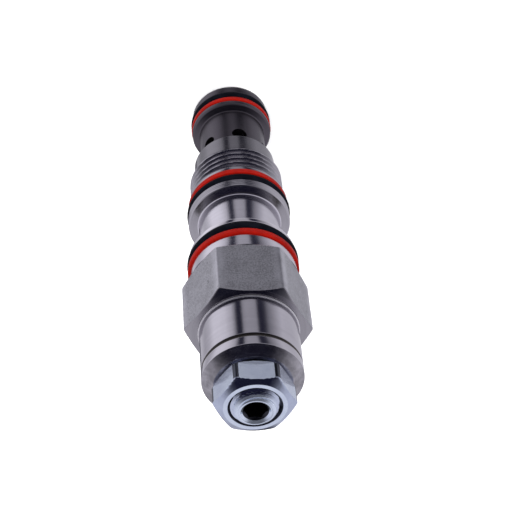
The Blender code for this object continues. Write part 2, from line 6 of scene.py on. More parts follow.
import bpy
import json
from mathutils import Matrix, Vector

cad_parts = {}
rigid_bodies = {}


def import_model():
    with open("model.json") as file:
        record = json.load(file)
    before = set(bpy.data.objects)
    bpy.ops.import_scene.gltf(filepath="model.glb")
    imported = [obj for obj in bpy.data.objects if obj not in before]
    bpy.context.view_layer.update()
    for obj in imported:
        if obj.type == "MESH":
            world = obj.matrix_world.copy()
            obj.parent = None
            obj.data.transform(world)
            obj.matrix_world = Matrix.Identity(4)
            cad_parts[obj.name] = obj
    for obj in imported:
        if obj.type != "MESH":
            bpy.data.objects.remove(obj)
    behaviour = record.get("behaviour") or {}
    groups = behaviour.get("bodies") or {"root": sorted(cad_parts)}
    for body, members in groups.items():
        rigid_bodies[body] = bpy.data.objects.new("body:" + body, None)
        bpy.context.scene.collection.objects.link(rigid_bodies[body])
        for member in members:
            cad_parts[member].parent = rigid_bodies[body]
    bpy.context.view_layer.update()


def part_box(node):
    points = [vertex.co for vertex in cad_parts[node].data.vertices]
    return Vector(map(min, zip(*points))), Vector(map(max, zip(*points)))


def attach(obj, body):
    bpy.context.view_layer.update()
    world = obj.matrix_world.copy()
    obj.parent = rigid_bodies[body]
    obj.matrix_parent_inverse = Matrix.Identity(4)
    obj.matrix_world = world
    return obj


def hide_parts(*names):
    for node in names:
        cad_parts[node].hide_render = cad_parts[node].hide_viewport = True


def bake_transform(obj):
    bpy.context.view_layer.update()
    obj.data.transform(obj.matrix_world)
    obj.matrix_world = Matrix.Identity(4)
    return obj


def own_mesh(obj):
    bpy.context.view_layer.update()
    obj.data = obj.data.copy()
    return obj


bl_info = {
    "name": "Cartridge Valve",
    "version": (1, 0, 0),
    "blender": (4, 5, 0),
    "location": "View3D > Sidebar > Valve",
    "description": "Builds a screw-in cartridge valve with turned, plated and rubber finishes",
    "category": "Add Mesh",
}

import json
import math

import bmesh
import bpy
import numpy as np
from bpy.props import FloatProperty, FloatVectorProperty, IntProperty, PointerProperty
from mathutils import Matrix, Vector

MM = 0.001
for spare in list(bpy.data.objects):
    bpy.data.objects.remove(spare)
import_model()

# ---- Places read from the frame --------------------------------------------------------------


def low(node):
    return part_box(node)[0].z


def high(node):
    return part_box(node)[1].z


def radius_of(node):
    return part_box(node)[1].x


HEX_TOP = high("hex_body")
BODY_END = low("hex_body")
NOSE_END = low("nose_sleeve")
GAP = 0.1 * MM                 # a ring's clearance in its groove
FIT = 0.05 * MM                # a piece's clearance in its bore
KEEN, CRISP, SOFT, EASY = (size * MM for size in (0.1, 0.12, 0.2, 0.3))    # roundings of corners

HEX_INNER = 9.5 * MM           # the body's flats and chamfers lie outside this radius
GUIDE_BORE, GUIDE_LOW, GUIDE_HIGH = 6.2 * MM, -26.4 * MM, -5.9 * MM
SPIGOT_BORE, SPIGOT_FLOOR = 8.6 * MM, 5.0 * MM
PORT_RADIUS, PORT_HEIGHT, PORT_PLACE = 1.1 * MM, -16.5 * MM, 7.4 * MM
BORE_ZONE = 7.4 * MM           # the body is ground steel inside this radius
SLEEVE_BORE, SLEEVE_STEP = 4.4 * MM, -45.0 * MM
SLEEVE_SEAT, SLEEVE_SHOULDER = 5.15 * MM, -36.4 * MM
HOLES, HOLE_HEIGHT, FIRST_HOLE = 6, -41.95 * MM, -97.5
CAP_RADIUS, CAP_SPIGOT, CAP_BORE, CAP_THREAD = 9.82 * MM, 8.55 * MM, 6.6 * MM, 4.84 * MM
CAP_FLOOR, CAP_CEILING = 5.3 * MM, 24.5 * MM
SCREW_FACETS, SEAL_FACETS, RING_FACETS = 144, 192, 128
CLIP_FACETS, DRILL_FACETS, PORT_FACETS = 120, 64, 48
COIL_RADIUS, COIL_TURNS = 5.0 * MM, 6.2
CHECK_COIL_RADIUS, CHECK_WIRE, CHECK_TURNS = 4.4 * MM, 0.7 * MM, 3.4
CLIP_GAP, CLIP_MIDDLE = 1.5, 5.05        # half the snap ring's gap and its mean radius, in millimetres
FLOOR_HALF = 0.6
CAMERA_LENS, SENSOR = 103.69, 36.0
CAMERA_AZIMUTH, CAMERA_ELEVATION, CAMERA_ROLL = 7.65, 48.485, 174.236
CAMERA_PLACE = (0.02363, -0.20279, 0.22323)


# ---- Sizes and colours -----------------------------------------------------------------------


def length(label, words, millimetres):
    return FloatProperty(name=label, description=words, default=millimetres * MM,
                         min=0.0, unit="LENGTH", precision=5)


def colour(label, words, value):
    return FloatVectorProperty(name=label, description=words, default=value,
                               min=0.0, max=1.0, subtype="COLOR")


class ValveSizes(bpy.types.PropertyGroup):
    """Sizes of the visible pieces."""
    hex_flats: length("Hexagon across flats", "Width of the body's hexagon", 22.2)
    hex_chamfer: length("Hexagon chamfer", "Height of the turned chamfer on the hexagon", 0.9)
    hex_round: length("Hexagon edge", "Rounding of the hexagon's edges", 0.28)
    collar_radius: length("Collar radius", "Radius of the collar under the hexagon", 11.0)
    upper_land: length("Upper land", "Length of the land below the upper seals", 1.2)
    waist_radius: length("Waist radius", "Radius between the two seal lands", 8.6)
    middle_land: length("Middle land", "Length of the land above the middle seals", 2.1)
    middle_radius: length("Middle land radius", "Radius of the middle land", 10.75)
    rim_radius: length("Rim radius", "Radius of the rim below the middle seals", 10.3)
    rim: length("Rim", "Length of the rim below the middle seals", 0.9)
    thread_radius: length("Thread radius", "Major radius of the locating thread", 10.0)
    thread_pitch: length("Thread pitch", "Pitch of the locating thread", 1.5)
    thread_relief: length("Thread relief", "Length of the relief above the thread", 0.6)
    lead_radius: length("Lead radius", "Radius of the plain collar below the thread", 8.8)
    lead: length("Lead length", "Length of the plain collar below the thread", 5.5)
    edge: length("Broken edge", "Rounding of turned edges", 0.22)
    chamber_radius: length("Chamber radius", "Radius of the spring chamber", 7.3)
    sleeve_radius: length("Sleeve radius", "Radius of the nose sleeve", 7.25)
    nose_land_radius: length("Nose land radius", "Radius of the land above the nose seals", 8.85)
    nose_end_radius: length("Nose end radius", "Radius of the nose end", 8.5)
    nose_bore: length("Nose bore", "Radius of the nose port", 5.4)
    side_hole: length("Side hole", "Radius of each side hole", 1.65)
    cap_face_radius: length("Cap face radius", "Radius of the cap's flat face", 7.6)
    cap_chamfer: length("Cap chamfer", "Length of the cap's chamfer", 1.2)
    cap_groove_depth: length("Cap groove", "Depth of the cap's groove", 0.5)
    cap_groove_width: length("Cap groove width", "Width of the cap's groove", 0.9)
    cap_groove_drop: length("Cap groove place", "From the cap's face to the groove's middle", 3.65)
    nut_flats: length("Nut across flats", "Width of the lock nut", 14.0)
    nut_chamfer: length("Nut chamfer", "Width of the nut's turned chamfer at its flats", 0.95)
    screw_pitch: length("Screw pitch", "Pitch of the adjusting screw", 1.058)
    socket_flats: length("Socket across flats", "Width of the screw's socket", 4.0)
    socket_depth: length("Socket depth", "Depth of the screw's socket", 5.0)
    wire: length("Main spring wire", "Wire diameter of the main spring", 2.2)
    facets: IntProperty(name="Facets", description="Facets round each turned piece",
                        default=240, min=24, max=720)


class ValveColours(bpy.types.PropertyGroup):
    """Colours of the finishes."""
    steel: colour("Turned steel", "Polished turned steel", (0.72, 0.70, 0.755))
    hexagon: colour("Hexagon steel", "Matt blasted steel", (0.53, 0.53, 0.565))
    dark: colour("Sleeve steel", "Dark heat-treated steel", (0.17, 0.155, 0.18))
    zinc: colour("Zinc plate", "Bright blue-white zinc", (0.71, 0.785, 0.98))
    inner: colour("Inner steel", "Ground steel inside the valve", (0.45, 0.45, 0.47))
    rubber: colour("Seal rubber", "Black nitrile rubber", (0.0022, 0.0026, 0.0045))
    backup: colour("Backup ring", "Deep red backup rings", (0.22, 0.0045, 0.002))
    floor: colour("Floor", "Pale studio floor", (0.92, 0.92, 0.92))


# ---- Node helpers ----------------------------------------------------------------------------


class Wire:
    """A number on a node socket, which adds Math nodes when it is used in an expression."""

    def __init__(self, graph, socket):
        self.graph = graph
        self.socket = socket

    def op(self, operation, *others, clamp=False):
        node = self.graph.add("ShaderNodeMath", {"operation": operation, "use_clamp": clamp},
                              dict(enumerate((self, *others))))
        return Wire(self.graph, node.outputs[0])

    def __add__(self, other):
        return self.op("ADD", other)

    def __sub__(self, other):
        return self.op("SUBTRACT", other)

    def __rsub__(self, other):
        return (self * -1) + other

    def __mul__(self, other):
        return self.op("MULTIPLY", other)

    def __truediv__(self, other):
        return self.op("DIVIDE", other)

    def __gt__(self, other):
        return self.op("GREATER_THAN", other)

    __radd__ = __add__
    __rmul__ = __mul__

    def between(self, start, end):
        """0 at start, 1 at end, and held at both."""
        return ((self - start) / (end - start)).held()

    def held(self):
        """The same number, held between 0 and 1."""
        return self.op("ADD", 0.0, clamp=True)


class Graph:
    """A node tree that is filled by add()."""

    def __init__(self, tree):
        self.tree = tree

    def add(self, kind, settings=None, inputs=None):
        """Add a node: its settings are set first, then the values or links of its sockets."""
        node = self.tree.nodes.new(kind)
        for key, value in (settings or {}).items():
            if key == "stops":
                ramp = node.color_ramp.elements
                while len(ramp) < len(value):
                    ramp.new(0.5)
                for element, (position, shade) in zip(ramp, value):
                    element.position = position
                    element.color = (*shade, 1.0)
            else:
                setattr(node, key, value)
        for key, value in (inputs or {}).items():
            socket = node.inputs[key]
            if isinstance(value, Wire):
                self.tree.links.new(value.socket, socket)
            elif isinstance(value, bpy.types.NodeSocket):
                self.tree.links.new(value, socket)
            else:
                socket.default_value = value
        return node

    def number(self, node, output=0):
        return Wire(self, node.outputs[output])


def new_material(name):
    made = bpy.data.materials.new(name)
    made.use_nodes = True
    made.node_tree.nodes.clear()
    return made, Graph(made.node_tree)


def finish_material(graph, constants, links):
    """Close a material with one Principled shader: constant values, then what varies."""
    shader = graph.add("ShaderNodeBsdfPrincipled", None, {**constants, **links})
    graph.add("ShaderNodeOutputMaterial", None, {"Surface": shader.outputs["BSDF"]})


def coordinates(graph):
    return graph.add("ShaderNodeTexCoord").outputs["Object"]


def split(graph, vector):
    """The three numbers of a vector."""
    parts = graph.add("ShaderNodeSeparateXYZ", None, {0: vector})
    return [graph.number(parts, i) for i in range(3)]


def reach(x, y):
    return (x * x + y * y).op("SQRT")


def round_coordinates(graph, place):
    """Radius, height in millimetres, and the cosine and sine of the angle round the axis."""
    x, y, z = (part / MM for part in split(graph, place))
    radius = reach(x, y)
    safe = radius.op("MAXIMUM", 0.001)
    return radius, z, x / safe, y / safe


def noise(graph, vector, scale, detail=2.0, roughness=0.5):
    node = graph.add("ShaderNodeTexNoise", {"noise_dimensions": "3D"},
                     {"Vector": vector, "Scale": scale, "Detail": detail, "Roughness": roughness})
    return graph.number(node, 0)


def combine(graph, x, y, z):
    return graph.add("ShaderNodeCombineXYZ", None, {0: x, 1: y, 2: z}).outputs[0]


def mix_colours(graph, share, first, second):
    node = graph.add("ShaderNodeMix", {"data_type": "RGBA"},
                     {0: share, 6: (*first, 1.0) if isinstance(first, tuple) else first,
                      7: (*second, 1.0) if isinstance(second, tuple) else second})
    return node.outputs[2]


def bump(graph, height, depth):
    return graph.add("ShaderNodeBump", None, {"Distance": depth * MM, "Height": height}).outputs[0]


def scaled(shade, factor):
    return tuple(min(1.0, channel * factor) for channel in shade)


# ---- Finishes --------------------------------------------------------------------------------


def turned_metal(name, shade, roughness, line_depth, smear=0.25, blotch=0.12, mottle=0.5):
    """Metal with fine lines left by the lathe, running round the axis."""
    made, graph = new_material(name)
    place = coordinates(graph)
    radius, z, cosine, sine = round_coordinates(graph, place)
    round_about = combine(graph, radius * 9 + cosine * smear, sine * smear, z * 9)
    lines = noise(graph, round_about, 1.0, 4.0, 0.7)
    coarse = noise(graph, combine(graph, radius * 1.3 + cosine * 0.4, sine * 0.4, z * 1.3), 1.0, 2.0)
    stains = noise(graph, place, 420.0, 4.0, 0.6)
    rough = roughness + (lines - 0.5) * 0.10 + (stains - 0.5) * blotch
    share = ((lines - 0.5) * 0.5 + (coarse - 0.5) * 0.7 + (stains - 0.5) * mottle + 0.5)
    tone = mix_colours(graph, share.held(), scaled(shade, 0.9 - 0.08 * mottle),
                       scaled(shade, 1.06 + 0.08 * mottle))
    finish_material(graph, {"Metallic": 1.0}, {"Base Color": tone, "Roughness": rough.held(),
                                               "Normal": bump(graph, lines, line_depth)})
    return made


def blasted_metal(name, shade, roughness):
    """Matt metal with a fine even grain, a few pits, and lighter corners: a painted highlight that also
    stands for rubbed wear.
    """
    made, graph = new_material(name)
    place = coordinates(graph)
    grain = noise(graph, place, 3400.0, 3.0, 0.65)
    cloud = noise(graph, place, 330.0, 3.0, 0.55)
    cells = graph.add("ShaderNodeTexVoronoi", {"feature": "F1"},
                      {"Vector": place, "Scale": 620.0, "Randomness": 1.0})
    chosen = split(graph, cells.outputs["Color"])[0].between(0.92, 0.94)
    near = 1 - graph.number(cells, "Distance").between(0.08, 0.20)
    pits = chosen * near
    tone = mix_colours(graph, ((grain - 0.5) * 4.6 + (cloud - 0.5) * 1.4 + 0.5).held(),
                       scaled(shade, 0.72), scaled(shade, 1.12))
    tone = mix_colours(graph, pits * 0.65, tone, scaled(shade, 0.25))
    # Lighter towards the hexagon's corners: painted highlight, also standing for rubbed wear
    radius = round_coordinates(graph, place)[0]
    corner_wear_and_highlight = (radius - 11.35).between(0.55, 1.0) * (0.55 + (cloud - 0.5) * 1.4)
    tone = mix_colours(graph, corner_wear_and_highlight.held(), tone, scaled(shade, 1.35))
    rough = roughness + (grain - 0.5) * 0.14 + (cloud - 0.5) * 0.1
    finish_material(graph, {"Metallic": 1.0}, {"Base Color": tone, "Roughness": rough,
                                               "Normal": bump(graph, grain * 0.6 - pits * 2.0, 0.012)})
    return made


def plated_metal(name, shade, roughness, metallic):
    """Bright zinc plate: smooth, slightly milky, with small dents and rubbed marks."""
    made, graph = new_material(name)
    place = coordinates(graph)
    cloud = noise(graph, place, 260.0, 4.0, 0.6)
    skin = noise(graph, place, 1500.0, 3.0, 0.6)
    rubbed = noise(graph, place, 700.0, 2.0, 0.5).between(0.60, 0.72)
    tone = mix_colours(graph, ((cloud - 0.5) * 1.2 + (skin - 0.5) * 0.4 + 0.5).held(),
                       scaled(shade, 0.84), scaled(shade, 1.12))
    rough = roughness + (cloud - 0.5) * 0.12 + rubbed * 0.08
    finish_material(graph, {"Metallic": metallic}, {"Base Color": tone, "Roughness": rough.held(),
                                                    "Normal": bump(graph, skin * 0.5 + cloud, 0.02)})
    return made


def moulded_rubber(name, shade):
    """Smooth black rubber with a dusty bloom."""
    made, graph = new_material(name)
    place = coordinates(graph)
    skin = noise(graph, place, 2600.0, 3.0, 0.6)
    bloom = noise(graph, place, 500.0, 3.0, 0.6)
    tone = mix_colours(graph, bloom.between(0.4, 0.75) * 0.6, shade, scaled(shade, 2.6))
    finish_material(graph, {"Metallic": 0.0, "Specular IOR Level": 0.02},
                    {"Base Color": tone, "Roughness": 0.42 + (bloom - 0.5) * 0.25,
                     "Normal": bump(graph, skin, 0.006)})
    return made


def cut_plastic(name, shade):
    """Slightly waxy plastic with fine lines from the lathe."""
    made, graph = new_material(name)
    place = coordinates(graph)
    radius, z, cosine, sine = round_coordinates(graph, place)
    lines = noise(graph, combine(graph, radius * 6 + cosine * 0.3, sine * 0.3, z * 6), 1.0, 3.0)
    cloud = noise(graph, place, 400.0, 3.0, 0.6)
    tone = mix_colours(graph, ((cloud - 0.5) * 1.4 + (lines - 0.5) * 0.6 + 0.5).held(),
                       scaled(shade, 0.72), scaled(shade, 1.3))
    finish_material(graph, {"Metallic": 0.0, "Subsurface Weight": 0.04,
                            "Subsurface Radius": (0.0012, 0.0003, 0.0001), "Specular IOR Level": 0.05},
                    {"Base Color": tone, "Roughness": 0.38 + (lines - 0.5) * 0.2,
                     "Normal": bump(graph, lines, 0.006)})
    return made


def drawn_wire(name, shade):
    """Oiled spring wire."""
    made, graph = new_material(name)
    skin = noise(graph, coordinates(graph), 1800.0, 4.0, 0.6)
    tone = mix_colours(graph, skin, scaled(shade, 0.7), scaled(shade, 1.15))
    finish_material(graph, {"Metallic": 1.0}, {"Base Color": tone, "Roughness": 0.26 + (skin - 0.5) * 0.2,
                                               "Normal": bump(graph, skin, 0.01)})
    return made


def studio_floor(name, shade):
    """Pale matt floor with a barely visible grain, fading out far from the part."""
    made, graph = new_material(name)
    place = coordinates(graph)
    tone = mix_colours(graph, noise(graph, place, 90.0, 3.0, 0.5), scaled(shade, 0.985), scaled(shade, 1.01))
    x, y, _ = split(graph, place)
    finish_material(graph, {"Roughness": 0.9, "Specular IOR Level": 0.1},
                    {"Base Color": tone, "Alpha": 1 - reach(x, y).between(0.15, 0.5)})
    return made


# Each finish: its maker, a colour of the sidebar or a fixed one, how much of it, and the maker's own values:
# roughness and depth of the lines in millimetres for turned metal, roughness and metallic for plate.
RECIPES = {
    "polished_steel": (turned_metal, "steel", 0.94, 0.08, 0.006),
    "body_steel": (turned_metal, "steel", 1.1, 0.11, 0.008),
    # Painted shade: a darker copy of the turned steel for the hexagon's chamfers, standing for their dark
    # reflection
    "chamfer_steel": (turned_metal, "steel", 0.58, 0.13, 0.016),
    "cap_chamfer": (turned_metal, "steel", 0.56, 0.16, 0.020, 0.6, 0.3, 2.6),
    # Painted highlight: lighter steel on the cap's foot, a bright line at its base
    "worn_steel": (turned_metal, "steel", 1.3, 0.55, 0.010),
    # Painted highlight: lighter, glossier steel on the upper land
    "rim_steel": (turned_metal, "steel", 1.25, 0.08, 0.006),
    "land_steel": (turned_metal, "steel", 0.72, 0.13, 0.010),
    "thread_steel": (turned_metal, "steel", 0.70, 0.17, 0.010),
    "collar_steel": (turned_metal, "steel", 0.38, 0.14, 0.008),
    "sleeve_steel": (turned_metal, "dark", 0.72, 0.31, 0.012),
    "inner_steel": (turned_metal, "inner", 1.0, 0.25, 0.008),
    # Painted shade: near-black steel inside the screw's socket and in the nut's bore
    "socket_steel": (turned_metal, (0.05, 0.052, 0.065), 1.0, 0.3, 0.01),
    # Painted shade: dark steel for the upper land's underside and the cap's groove
    "groove_steel": (turned_metal, (0.16, 0.15, 0.14), 1.0, 0.4, 0.012),
    "hexagon_steel": (blasted_metal, "hexagon", 1.0, 0.42),
    "zinc_plate": (plated_metal, "zinc", 1.0, 0.12, 0.93),
    # Painted reflection: dark zinc in narrow strips beside the nut's corners
    "zinc_edge": (plated_metal, "zinc", 0.12, 0.16, 1.0),
    # Painted shade: a darker copy of the zinc for the nut's chamfers, standing for their dark reflection
    "zinc_chamfer": (plated_metal, "zinc", 0.8, 0.07, 1.0),
    "thread_plate": (plated_metal, "zinc", 0.95, 0.06, 1.0),
    "seal_rubber": (moulded_rubber, "rubber", 1.0),
    "backup_plastic": (cut_plastic, "backup", 1.0),
    "spring_wire": (drawn_wire, "inner", 1.0),
    "pale_floor": (studio_floor, "floor", 1.0),
}


class Finishes:
    """Makes each finish once, when it is first asked for."""

    def __init__(self):
        self.made = {}

    def get(self, name):
        if name not in self.made:
            maker, shade, share, *values = RECIPES[name]
            if isinstance(shade, str):
                shade = getattr(bpy.context.scene.valve_colours, shade)
            self.made[name] = maker(name, scaled(shade, share), *values)
        return self.made[name]


FINISHES = Finishes()

# ---- Turned shapes ---------------------------------------------------------------------------


def rounded(outline, closed=True, steps=4):
    """Round the corners of an outline of (radius, height, rounding) points."""
    points = []
    count = len(outline)
    for i, (r, z, size) in enumerate(outline):
        here = np.array((r, z))
        ends = not closed and i in (0, count - 1)
        if size <= 0 or ends:
            points.append(here)
            continue
        before = np.array(outline[i - 1][:2]) - here
        after = np.array(outline[(i + 1) % count][:2]) - here
        reach_before, reach_after = np.linalg.norm(before), np.linalg.norm(after)
        before, after = before / reach_before, after / reach_after
        half = math.acos(np.clip(before @ after, -1, 1)) / 2
        if half > math.radians(88):
            points.append(here)
            continue
        run = min(size / math.tan(half), 0.45 * reach_before, 0.45 * reach_after)
        radius = run * math.tan(half)
        middle = (before + after) / np.linalg.norm(before + after)
        centre = here + middle * radius / math.sin(half)
        first, last = here + before * run - centre, here + after * run - centre
        for step in range(steps + 1):
            share = step / steps
            arm = first * (1 - share) + last * share
            points.append(centre + arm / np.linalg.norm(arm) * radius)
    return np.array(points)


def densified(points, closed, zones):
    """Add points to the runs whose heights lie in a (low, high, step) zone."""
    made = []
    count = len(points)
    for i in range(count if closed else count - 1):
        a, b = points[i], points[(i + 1) % count]
        made.append(a)
        steps = 1
        for bottom, top, step in zones:
            if bottom <= min(a[1], b[1]) and max(a[1], b[1]) <= top:
                steps = max(steps, math.ceil(np.linalg.norm(b - a) / step))
        for k in range(1, steps):
            made.append(a + (b - a) * k / steps)
    if not closed:
        made.append(points[-1])
    return np.array(made)


def revolve(name, points, closed, facets, rule=None, first=0.0, sweep=math.tau):
    """Turn points of (radius, height) about Z, down the outer side.

    rule(radius, height, angle) may change the radius, for flats and sockets.
    """
    whole = sweep > math.tau - 1e-6
    columns = facets if whole else facets + 1
    angles = first + sweep * np.arange(columns) / facets
    rows = len(points)
    r = np.repeat(points[:, 0][:, None], columns, 1)
    z = np.repeat(points[:, 1][:, None], columns, 1)
    theta = np.repeat(angles[None, :], rows, 0)
    if rule:
        r = rule(r, z, theta)
    grid = np.stack([r * np.cos(theta), r * np.sin(theta), z], 2).reshape(-1, 3)
    faces = []
    across = columns if whole else columns - 1
    for i in range(rows if closed else rows - 1):
        low_row, next_row = i * columns, (i + 1) % rows * columns
        for j in range(across):
            k = (j + 1) % columns
            faces.append((low_row + j, next_row + j, next_row + k, low_row + k))
    if not whole:
        faces.append(tuple(i * columns for i in range(rows)))
        faces.append(tuple(i * columns + columns - 1 for i in reversed(range(rows))))
    mesh = bpy.data.meshes.new(name)
    mesh.from_pydata(grid.tolist(), [], faces)
    made = bpy.data.objects.new(name, mesh)
    bpy.context.scene.collection.objects.link(made)
    tidy_mesh(made)
    return made


def tidy_mesh(made, angle=38.0):
    """Merge poles, turn faces outwards and shade the piece smooth up to an angle."""
    work = bmesh.new()
    work.from_mesh(made.data)
    bmesh.ops.remove_doubles(work, verts=work.verts, dist=1e-7)
    bmesh.ops.dissolve_degenerate(work, edges=work.edges, dist=1e-8)
    bmesh.ops.recalc_face_normals(work, faces=work.faces)
    work.to_mesh(made.data)
    work.free()
    made.data.shade_smooth()
    made.data.set_sharp_from_angle(angle=math.radians(angle))


def vectors(items, key):
    """One vector of every vertex or face, as rows."""
    values = np.zeros(len(items) * 3)
    items.foreach_get(key, values)
    return values.reshape(-1, 3)


def corner_of(across_flats):
    """Distance from the axis to a hexagon's corners."""
    return across_flats / 2 / math.cos(math.pi / 6)


def hexagon_radius(across_flats, theta, sharpness=70.0):
    """Distance from the axis to a hexagon with corners on +X and -X, its corners broken."""
    total = np.zeros_like(theta)
    for side in range(6):
        facing = np.cos(theta - math.radians(30 + 60 * side))
        total += np.clip(facing, 0, None) ** sharpness
    return across_flats / 2 / total ** (1 / sharpness)


def soft_least(a, b, width):
    """The lesser of two radii, blended over a width."""
    share = np.clip(0.5 + 0.5 * (b - a) / width, 0, 1)
    return b + (a - b) * share - width * share * (1 - share)


def flats_rule(across_flats, width, bottom, top, inner_limit, sharpness=70.0):
    """Cut hexagon flats on the outer side of a turned piece."""
    def rule(r, z, theta):
        flats = hexagon_radius(across_flats, theta, sharpness)
        cut = soft_least(r, flats, width)
        inside = (z > bottom - 1e-9) & (z < top + 1e-9) & (r > inner_limit)
        return np.where(inside, cut, r)
    return rule


def plain(made):
    """Replace a piece's modifiers by their result."""
    graph = bpy.context.evaluated_depsgraph_get()
    mesh = bpy.data.meshes.new_from_object(made.evaluated_get(graph))
    made.modifiers.clear()
    old = made.data
    made.data = mesh
    mesh.name = made.name
    if old.users == 0:
        bpy.data.meshes.remove(old)


def finished(made, finish, body, slot, *nodes):
    """Give a piece its finish, its body and the nodes it stands for."""
    if finish:
        made.data.materials.clear()
        made.data.materials.append(FINISHES.get(finish))
    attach(made, body)
    if nodes:
        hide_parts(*nodes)


# ---- Geometry Nodes: threads and springs -----------------------------------------------------


def geometry_tree(name, inputs):
    """Empty modifier tree with a geometry input, named number inputs and a finish."""
    tree = bpy.data.node_groups.new(name, "GeometryNodeTree")
    tree.interface.new_socket("Geometry", in_out="INPUT", socket_type="NodeSocketGeometry")
    for label, start in inputs.items():
        socket = tree.interface.new_socket(label, in_out="INPUT", socket_type="NodeSocketFloat")
        socket.default_value = start
    tree.interface.new_socket("Finish", in_out="INPUT", socket_type="NodeSocketMaterial")
    tree.interface.new_socket("Geometry", in_out="OUTPUT", socket_type="NodeSocketGeometry")
    graph = Graph(tree)
    entry = graph.add("NodeGroupInput")
    return graph, entry


def close_tree(graph, geometry, finish):
    real = graph.add("GeometryNodeRealizeInstances", None, {"Geometry": geometry})
    painted = graph.add("GeometryNodeSetMaterial", None,
                        {"Geometry": real.outputs[0], "Material": finish})
    graph.add("NodeGroupOutput", None, {0: painted.outputs[0]})


def thread_tree():
    """Cuts a helical thread into a turned piece where its "thread" attribute says."""
    inputs = {"Major radius": 10 * MM, "Pitch": 1.5 * MM, "Depth": 0.9 * MM, "Crest": 0.14, "Root": 0.24}
    graph, entry = geometry_tree("helical_thread", inputs)
    major, pitch, depth, crest, root = (graph.number(entry, label) for label in inputs)
    x, y, z = split(graph, graph.add("GeometryNodeInputPosition").outputs[0])
    weight = graph.number(graph.add("GeometryNodeInputNamedAttribute", {"data_type": "FLOAT"},
                                    {"Name": "thread"}), "Attribute")
    turn = y.op("ARCTAN2", x) / math.tau
    phase = (z / pitch - turn).op("FRACT")
    ramp = (phase * 2 - 1).op("ABSOLUTE")
    slope = ((ramp - crest) / (1 - crest - root)).held()
    radius = reach(x, y)
    shrink = radius.op("MINIMUM", major + 1 - (weight > 0) - slope * depth * weight) / radius
    moved = combine(graph, x * shrink, y * shrink, z)
    placed = graph.add("GeometryNodeSetPosition", None,
                       {"Geometry": entry.outputs["Geometry"], "Position": moved})
    close_tree(graph, placed.outputs[0], entry.outputs["Finish"])
    return graph.tree


def spring_tree():
    """Compression spring with closed end turns, made from a row of points."""
    inputs = {"Radius": 5 * MM, "Wire": 2.2 * MM, "Turns": 6.0, "Length": 19 * MM,
              "Bottom": 0.0, "Points": 200.0}
    graph, entry = geometry_tree("closed_end_spring", inputs)
    radius, wire, turns, tall, bottom, points = (graph.number(entry, label) for label in inputs)
    row = graph.add("GeometryNodeMeshLine", None, {"Count": points.socket})
    turn = graph.number(graph.add("GeometryNodeInputIndex")) / (points - 1) * turns
    rise = tall - wire
    end_rise = wire * 1.06
    middle = (turn - 1).op("MAXIMUM", 0.0).op("MINIMUM", turns - 2)
    first = turn.op("MINIMUM", 1.0)
    last = (turn - turns + 1).op("MAXIMUM", 0.0)
    height = end_rise * (first + last) + (rise - end_rise * 2) * middle / (turns - 2)
    angle = turn * math.tau
    spot = combine(graph, radius * angle.op("COSINE"), radius * angle.op("SINE"),
                   height + wire / 2 + bottom)
    placed = graph.add("GeometryNodeSetPosition", None, {"Geometry": row.outputs[0], "Position": spot})
    curve = graph.add("GeometryNodeMeshToCurve", None, {"Mesh": placed.outputs[0]})
    section = graph.add("GeometryNodeCurvePrimitiveCircle", None,
                        {"Resolution": 16, "Radius": wire / 2})
    tube = graph.add("GeometryNodeCurveToMesh", None,
                     {"Curve": curve.outputs[0], "Profile Curve": section.outputs[0], "Fill Caps": True})
    smooth = graph.add("GeometryNodeSetShadeSmooth", None, {"Geometry": tube.outputs[0]})
    close_tree(graph, smooth.outputs[0], entry.outputs["Finish"])
    return graph.tree


TREES = {}


def grown(made, maker, values, finish):
    """Run a Geometry Nodes tree on a piece and keep the result as a plain mesh."""
    if maker.__name__ not in TREES:
        TREES[maker.__name__] = maker()
    step = made.modifiers.new("shape", "NODES")
    step.node_group = TREES[maker.__name__]
    for item in step.node_group.interface.items_tree:
        if item.in_out == "INPUT" and item.name in values:
            step[item.identifier] = values[item.name]
        if item.in_out == "INPUT" and item.name == "Finish":
            step[item.identifier] = FINISHES.get(finish)
    plain(made)


def mark_thread(made, bottom, top, run_out, inner_limit):
    """Store how deep the thread is at each point: none at the ends, full between."""
    spots = vectors(made.data.vertices, "co")
    z = spots[:, 2]
    outside = np.hypot(spots[:, 0], spots[:, 1]) > inner_limit
    weight = np.clip((z - bottom) / run_out, 0, 1) * np.clip((top - z) / run_out, 0, 1)
    attribute = made.data.attributes.new("thread", "FLOAT", "POINT")
    attribute.data.foreach_set("value", (weight * outside).astype(np.float32))


def spring(name, radius, wire, turns, bottom, top):
    """Coil a spring between two heights."""
    mesh = bpy.data.meshes.new(name)
    made = bpy.data.objects.new(name, mesh)
    bpy.context.scene.collection.objects.link(made)
    grown(made, spring_tree, {"Radius": radius, "Wire": wire, "Turns": turns,
                              "Length": top - bottom, "Bottom": bottom,
                              "Points": float(round(turns * 48))}, "spring_wire")
    tidy_mesh(made)
    return made


def cut_across(made, name, level):
    """Cut a piece in two at a height and close the cuts; the upper part is returned."""
    upper = bpy.data.objects.new(name, made.data.copy())
    bpy.context.scene.collection.objects.link(upper)
    for piece, drop_above in ((made, True), (upper, False)):
        work = bmesh.new()
        work.from_mesh(piece.data)
        bmesh.ops.bisect_plane(work, geom=work.verts[:] + work.edges[:] + work.faces[:], dist=1e-8,
                               plane_co=(0, 0, level), plane_no=(0, 0, 1),
                               clear_outer=drop_above, clear_inner=not drop_above)
        bmesh.ops.holes_fill(work, edges=[edge for edge in work.edges if edge.is_boundary])
        work.to_mesh(piece.data)
        work.free()
        tidy_mesh(piece)
    return upper


def stretched(made, slot, lower_body, upper_body, start, end, *nodes):
    """Bake a piece's placement into its mesh and hide the nodes it stands for."""
    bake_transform(made)
    if nodes:
        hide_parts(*nodes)


# ---- Pieces ----------------------------------------------------------------------------------


